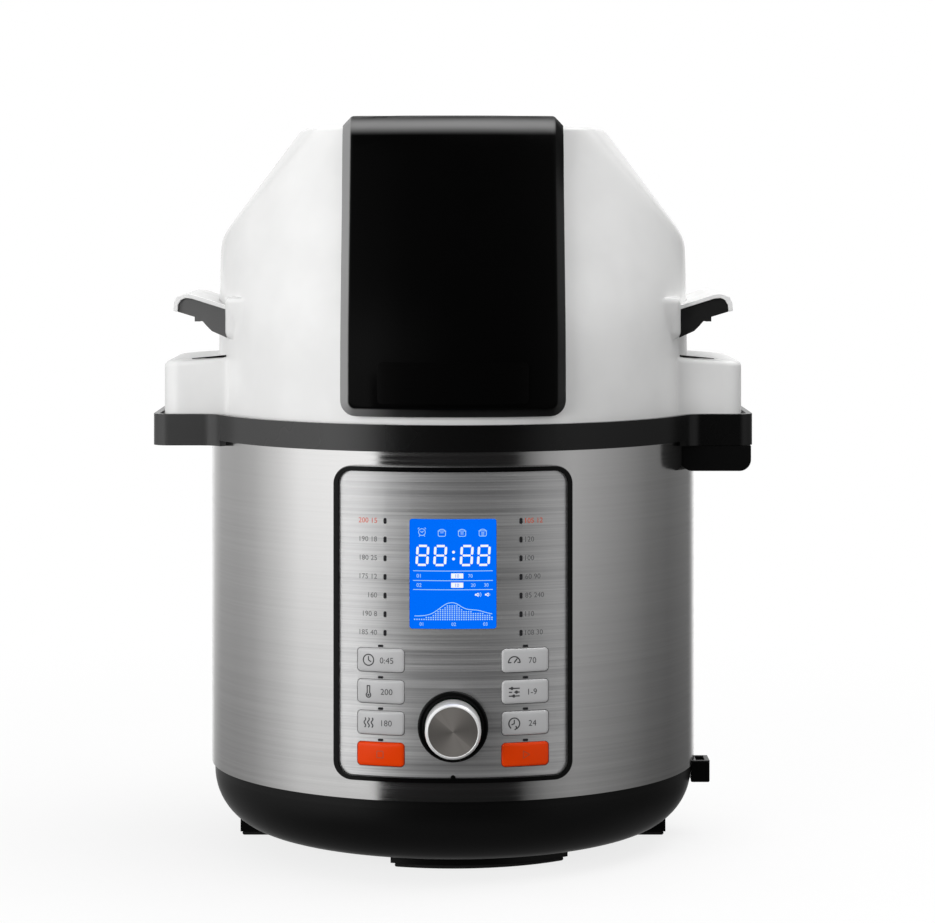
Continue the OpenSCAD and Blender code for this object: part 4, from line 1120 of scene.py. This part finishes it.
class COOKER_OT_panel(bpy.types.Operator):
    """Printed figures beside the lamps, the frame and its lower nub"""

    bl_idname = "cooker.panel"
    bl_label = "Control panel"

    def execute(self, context):
        radius = in_mm(context).panel_radius
        black = "black_plastic"
        bm = copied("panel_frame")
        rim = finished("frame_ring", bm, "frame_black", "base", ["panel_frame"], black, sharp=30)
        rounded(rim, 0.9, angle=50)
        columns = (
            (-16.6, ("200 15", "190 18", "180 25", "175 12", "160", "190 8", "185 40")),
            (15.75, ("105 12", "120", "100", "60 90", "85 240", "110", "108 30")),
        )
        for (side, word), (angle, rows) in zip(SIDES, columns):
            red, dark = Marks(), Marks()
            for n, text in enumerate(rows):
                marks = dark if n else red
                marks.figures(text, 0.0, 209.8 - n * 10.75, 2.9, 0.5 - side * 0.5)
            for name, marks in (("red", red), ("dark", dark)):
                bm = set_round(marks.raised(0.03), angle, 0.0, radius + 0.02)
                label = f"print_{name}_{word}"
                finished(label, bm, f"ink_{name}", "base", slot="brushed_panel")
        nub = lathe([(0.0, -0.2), (1.35, -0.2), (1.35, 0.55), (1.0, 0.85), (0.0, 0.95)], 32)
        moved(nub, 0, 0, radius)
        finished("frame_nub", faced(nub, 62.9), "frame_black", "base", slot=black)
        return {"FINISHED"}


class COOKER_OT_buttons(bpy.types.Operator):
    """Eight crowned buttons with their printed signs"""

    bl_idname = "cooker.buttons"
    bl_label = "Buttons"

    def execute(self, context):
        s = in_mm(context)
        half_w, half_h = s.button_width / 2, s.button_height / 2
        angle, radius = 15.8, 153.15  # where a column of keys stands
        for side, word in SIDES:
            for n in range(4):
                orange = n == 3
                key = f"{word}_{n + 1}"
                node = f"button_{key}"
                height = middle_height(node)
                bm = set_flat(key_top(half_w, half_h), side * angle, height, radius)
                finish = "button_orange" if orange else "button_grey"
                finished(f"key_{key}", bm, finish, node + "_body", [node], finish, sharp=60)
                marks = Marks()
                if orange:
                    self.mark(marks, side)
                else:
                    self.sign(marks, side, n)
                top = marks.raised(0.03)
                for v in top.verts:
                    dome = key_dome(v.co.x / half_w, v.co.y / half_h)
                    v.co.z += KEY_RISE + dome + 0.005
                set_flat(top, side * angle, height, radius)
                ink = "ink_on_orange" if orange else "ink_key"
                finished(f"sign_{key}", top, ink, node + "_body", slot=finish)
        return {"FINISHED"}

    def mark(self, marks, side):
        """A square on the left orange button and a triangle on the right one."""
        if side < 0:
            for x, y, u, v in ((-1, -1, 1, -1), (-1, 1, 1, 1), (-1, -1, -1, 1), (1, -1, 1, 1)):
                marks.bar((x * 1.9, y * 1.9), (u * 1.9, v * 1.9), 0.7)
        else:
            marks.path([(-1.6, -2.1), (-1.6, 2.1), (2.1, 0.0)], 0.7, True)

    def sign(self, marks, side, n):
        """A plain sign and a number for what the button sets."""
        x, w = -7.0, 0.7
        if side < 0 and n == 0:
            # a clock
            marks.arc(x, 0, 3.2, w).path([(x, 1.9), (x, 0), (x + 1.4, -0.9)], w)
        elif side < 0 and n == 1:
            # a thermometer
            tube = [(x - 0.75, -0.9), (x - 0.75, 3.2), (x + 0.75, 3.2), (x + 0.75, -0.9)]
            marks.arc(x, -2.1, 1.4, w, -240, 60, 14).path(tube, w).disc(x, -2.1, 0.7)
        elif side < 0:
            # rising heat
            for k in (-2.2, 0.0, 2.2):
                wave = [(x + k + 0.55 * math.sin(t * 0.9), -2.6 + t * 0.52) for t in range(11)]
                marks.path(wave, w)
        elif n == 0:
            # a gauge
            marks.arc(x, -1.0, 3.4, w, 0, 180, 16).bar((x - 3.4, -1.0), (x + 3.4, -1.0), w)
            marks.path([(x, -1.0), (x + 1.6, 1.1)], w)
        elif n == 1:
            # sliders
            for k, y in ((-1.4, 2.2), (1.3, 0.0), (-0.3, -2.2)):
                marks.bar((x - 3.2, y), (x + 3.2, y), w).disc(x + k, y, 0.95)
        else:
            # a clock with an arrow
            marks.arc(x, 0, 3.2, w, -60, 230, 18).path([(x, 1.9), (x, 0), (x - 1.4, -0.6)], w)
            marks.path([(x + 0.4, -3.4), (x + 1.6, -2.8), (x + 1.0, -1.6)], w)
        text = (("0:45", "200", "180"), ("70", "1-9", "24"))[side > 0][n]
        marks.figures(text, 3.9, 0, 3.4)


class COOKER_OT_knob(bpy.types.Operator):
    """Turned aluminium knob in its black bezel"""

    bl_idname = "cooker.knob"
    bl_label = "Knob"

    def execute(self, context):
        r = in_mm(context).knob_radius
        height = middle_height("knob")
        front = -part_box("knob")[0].y / MM
        back = front - 18.0
        # half profiles, as a radius and a distance out from the axis of the body
        side = [(0, back), (r - 0.8, back), (r - 0.2, back + 0.25), (r, back + 0.8)]
        side += [(r, front - 2.3), (r - 0.15, front - 1.7)]
        ring = [(r - 0.15, front - 1.7), (r - 0.75, front - 0.6), (r - 1.25, front - 0.12)]
        ring += [(r - 1.5, front), (r - 1.75, front - 0.1), (r - 1.9, front - 0.4)]
        face = [(r - 1.9, front - 0.4), (r * 0.6, front - 0.36), (1.2, front - 0.34)]
        face += [(0, front - 0.34)]
        low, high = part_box("knob_bezel")
        out, top = (high.x - low.x) / 2 / MM, -low.y / MM
        bezel = [(16.6, top - 3.2), (16.6, top - 0.6), (17.0, top - 0.12), (17.6, top)]
        bezel += [(out - 1.1, top), (out - 0.35, top - 0.3), (out, top - 1.0), (out, top - 4.6)]
        turning, metal = "knob_body", "knob_metal"
        for name, profile, finish, body, replaces, slot, sharp in (
            ("knob_grip", side, "knob_side", turning, ["knob"], metal, 50),
            ("knob_ring", ring, "knob_bright", turning, [], metal, 35),
            ("knob_face", face, "knob_face", turning, [], metal, 35),
            ("knob_well", bezel, "frame_black", "base", ["knob_bezel"], "black_plastic", 60),
        ):
            bm = faced(lathe(profile, 128), height)
            finished(name, bm, finish, body, replaces, slot, sharp)
        return {"FINISHED"}


class COOKER_OT_nodes(bpy.types.Operator):
    """Gives every carried-over node its finish"""

    bl_idname = "cooker.nodes"
    bl_label = "Finishes"

    def execute(self, context):
        make_finishes()
        for name, node in frame["nodes"].items():
            if name.startswith("button"):
                finish = "button_orange" if name.endswith("4") else "button_grey"
            else:
                finish = NODE_FINISH[name]
            node.data.materials.clear()
            node.data.materials.append(FINISHES[finish])
        return {"FINISHED"}


class COOKER_OT_stage(bpy.types.Operator):
    """Floor, studio light and camera"""

    bl_idname = "cooker.stage"
    bl_label = "Stage"

    def execute(self, context):
        context.scene.view_settings.view_transform = "Standard"
        self.floor()
        self.studio(context.scene)
        self.lamps()
        self.camera(context.scene)
        return {"FINISHED"}

    def floor(self):
        """A pale floor that fades into the white around it."""
        bm = bmesh.new()
        bmesh.ops.create_grid(bm, x_segments=1, y_segments=1, size=6.0)
        mesh = as_mesh("floor", bm)
        floor = linked("floor", mesh)
        floor.visible_glossy = False
        cloth = Finish("floor_paper", 0.9, 0.9)
        seen = cloth.node("ShaderNodeLightPath", output="Is Camera Ray")
        far = cloth.vector("LENGTH", cloth.here, output="Value").smooth(0.22, 0.9, 0.8, 1.0)
        # what the floor throws back is darker than what is seen of it
        paper, thrown = cloth.noise(40.0, 3.0) * 0.03 + 0.88, 0.16
        tone = seen * (paper - thrown) + thrown
        cloth.set(**{"Base Color": cloth.grey(tone), "Roughness": 0.9, "Specular IOR Level": 0.1})
        glow = cloth.node("ShaderNodeEmission", inputs={"Color": shade(1.0), "Strength": 1.0})
        plain = Wire(cloth, cloth.shader.outputs[0])
        both = cloth.node("ShaderNodeMixShader", inputs={0: seen * far, 1: plain, 2: glow})
        cloth.feed(cloth.nodes["Material Output"].inputs["Surface"], both)
        mesh.materials.append(cloth.material)

    def studio(self, scene):
        """Pale walls whose brightness changes round the object, and a dark card ahead."""
        world = bpy.data.worlds.new("studio")
        scene.world = world
        world.use_nodes = True
        sky = Graph(world.node_tree)
        x, y, z = sky.axes(sky.node("ShaderNodeTexCoord", output="Generated"))
        # 0 and 1 behind, 0.25 left, 0.5 in front, 0.75 right
        turn = x.math("ARCTAN2", y * -1.0) * (0.5 / math.pi) + 0.5
        stops = (
            (0.0, 1.0), (0.05, 0.75), (0.1, 0.46), (0.16, 0.46), (0.2, 0.53), (0.25, 0.8),
            (0.29, 1.1), (0.33, 1.15), (0.4, 1.2), (0.404, 1.2), (0.44, 0.5), (0.5, 0.15),
            (0.57, 0.1), (0.6, 0.2), (0.625, 0.4), (0.66, 0.48), (0.74, 0.31), (0.79, 0.2),
            (0.84, 0.16), (0.92, 0.2), (0.96, 0.6), (1.0, 1.0),
        )
        tones = [(place, tone * 0.95) for place, tone in stops]
        walls = sky.node("ShaderNodeValToRGB", {"stops": tones}, {0: turn})
        low = sky.grey(z.smooth(-0.24, -0.05, 0.5, 1.08))
        walls = sky.blend(1.0, walls, low, "MULTIPLY")
        overhead = sky.blend(y.smooth(-0.55, 0.35), 0.1, 0.95)
        upper = sky.blend(z.smooth(0.2, 0.75), walls, overhead)
        card = turn.smooth(0.398, 0.408) * turn.smooth(0.6, 0.58) * z.smooth(0.1, 0.0)
        upper = sky.blend(card, upper, 0.012)
        light = sky.blend(z.smooth(-0.32, -0.7), upper, 0.16)
        # white where it is seen, and where glass or metal shows what is behind
        path = sky.node("ShaderNodeLightPath", output="Is Camera Ray")
        outputs = path.socket.node.outputs
        mirror = Wire(sky, outputs["Is Glossy Ray"]) + Wire(sky, outputs["Is Transmission Ray"])
        white = (path + mirror.clamp() * y.smooth(0.9, 0.99)).clamp()
        sky.feed(sky.nodes["Background"].inputs["Color"], sky.blend(white, light, 1.0))

    def lamps(self):
        """A key and a fill from the front, and a top lamp that gloss shows."""
        for name, spot, aim, size, power in (
            ("key", (-1.55, -1.9, 0.45), (0, 0, 0.28), 1.4, 40.5),
            ("fill", (1.3, -1.9, 0.9), (0, 0, 0.25), 1.4, 10.8),
            ("top", (0.75, 0.0, 2.15), (0, 0, 0.3), 1.6, 26.0),
        ):
            data = bpy.data.lights.new(name, "AREA")
            data.shape = "SQUARE"
            data.size = size
            data.energy = power
            lamp = linked(name, data)
            lamp.location = spot
            lamp.visible_glossy = name == "top"
            lamp.rotation_mode = "QUATERNION"
            lamp.rotation_quaternion = (Vector(aim) - Vector(spot)).to_track_quat("-Z", "Y")

    def camera(self, scene):
        """A level camera at the lid's height, with the frame shifted down to the object."""
        distance, eye_level = 1.885, 0.388
        data = bpy.data.cameras.new("camera")
        data.lens = 116.2
        data.sensor_width = 36.0
        data.shift_x = 0.0155
        data.shift_y = -0.268
        camera = linked("camera", data)
        camera.location = (0.0, -distance, eye_level)
        camera.rotation_euler = (math.pi / 2, 0.0, 0.0)
        scene.camera = camera


class COOKER_PT_sidebar(bpy.types.Panel):
    """The cooker's pieces, sizes and colours"""

    bl_idname = "COOKER_PT_sidebar"
    bl_label = "Pressure cooker"
    bl_space_type = "VIEW_3D"
    bl_region_type = "UI"
    bl_category = "Cooker"

    def draw(self, context):
        column = self.layout.column(align=True)
        for operator in OPERATORS:
            column.operator(operator.bl_idname)
        for group in (context.scene.cooker_sizes, context.scene.cooker_colours):
            box = self.layout.box().column(align=True)
            for name in group.__annotations__:
                box.prop(group, name)


OPERATORS = (
    COOKER_OT_nodes,
    COOKER_OT_stage,
    COOKER_OT_lid,
    COOKER_OT_fascia,
    COOKER_OT_mouldings,
    COOKER_OT_panel,
    COOKER_OT_display,
    COOKER_OT_buttons,
    COOKER_OT_knob,
)
CLASSES = (CookerSizes, CookerColours, *OPERATORS, COOKER_PT_sidebar)


def register():
    for cls in CLASSES:
        bpy.utils.register_class(cls)
    bpy.types.Scene.cooker_sizes = PointerProperty(type=CookerSizes)
    bpy.types.Scene.cooker_colours = PointerProperty(type=CookerColours)


def unregister():
    del bpy.types.Scene.cooker_colours
    del bpy.types.Scene.cooker_sizes
    for cls in reversed(CLASSES):
        bpy.utils.unregister_class(cls)


def main():
    register()
    for operator in OPERATORS:
        group, name = operator.bl_idname.split(".")
        getattr(getattr(bpy.ops, group), name)()


if __name__ == "__main__":
    main()
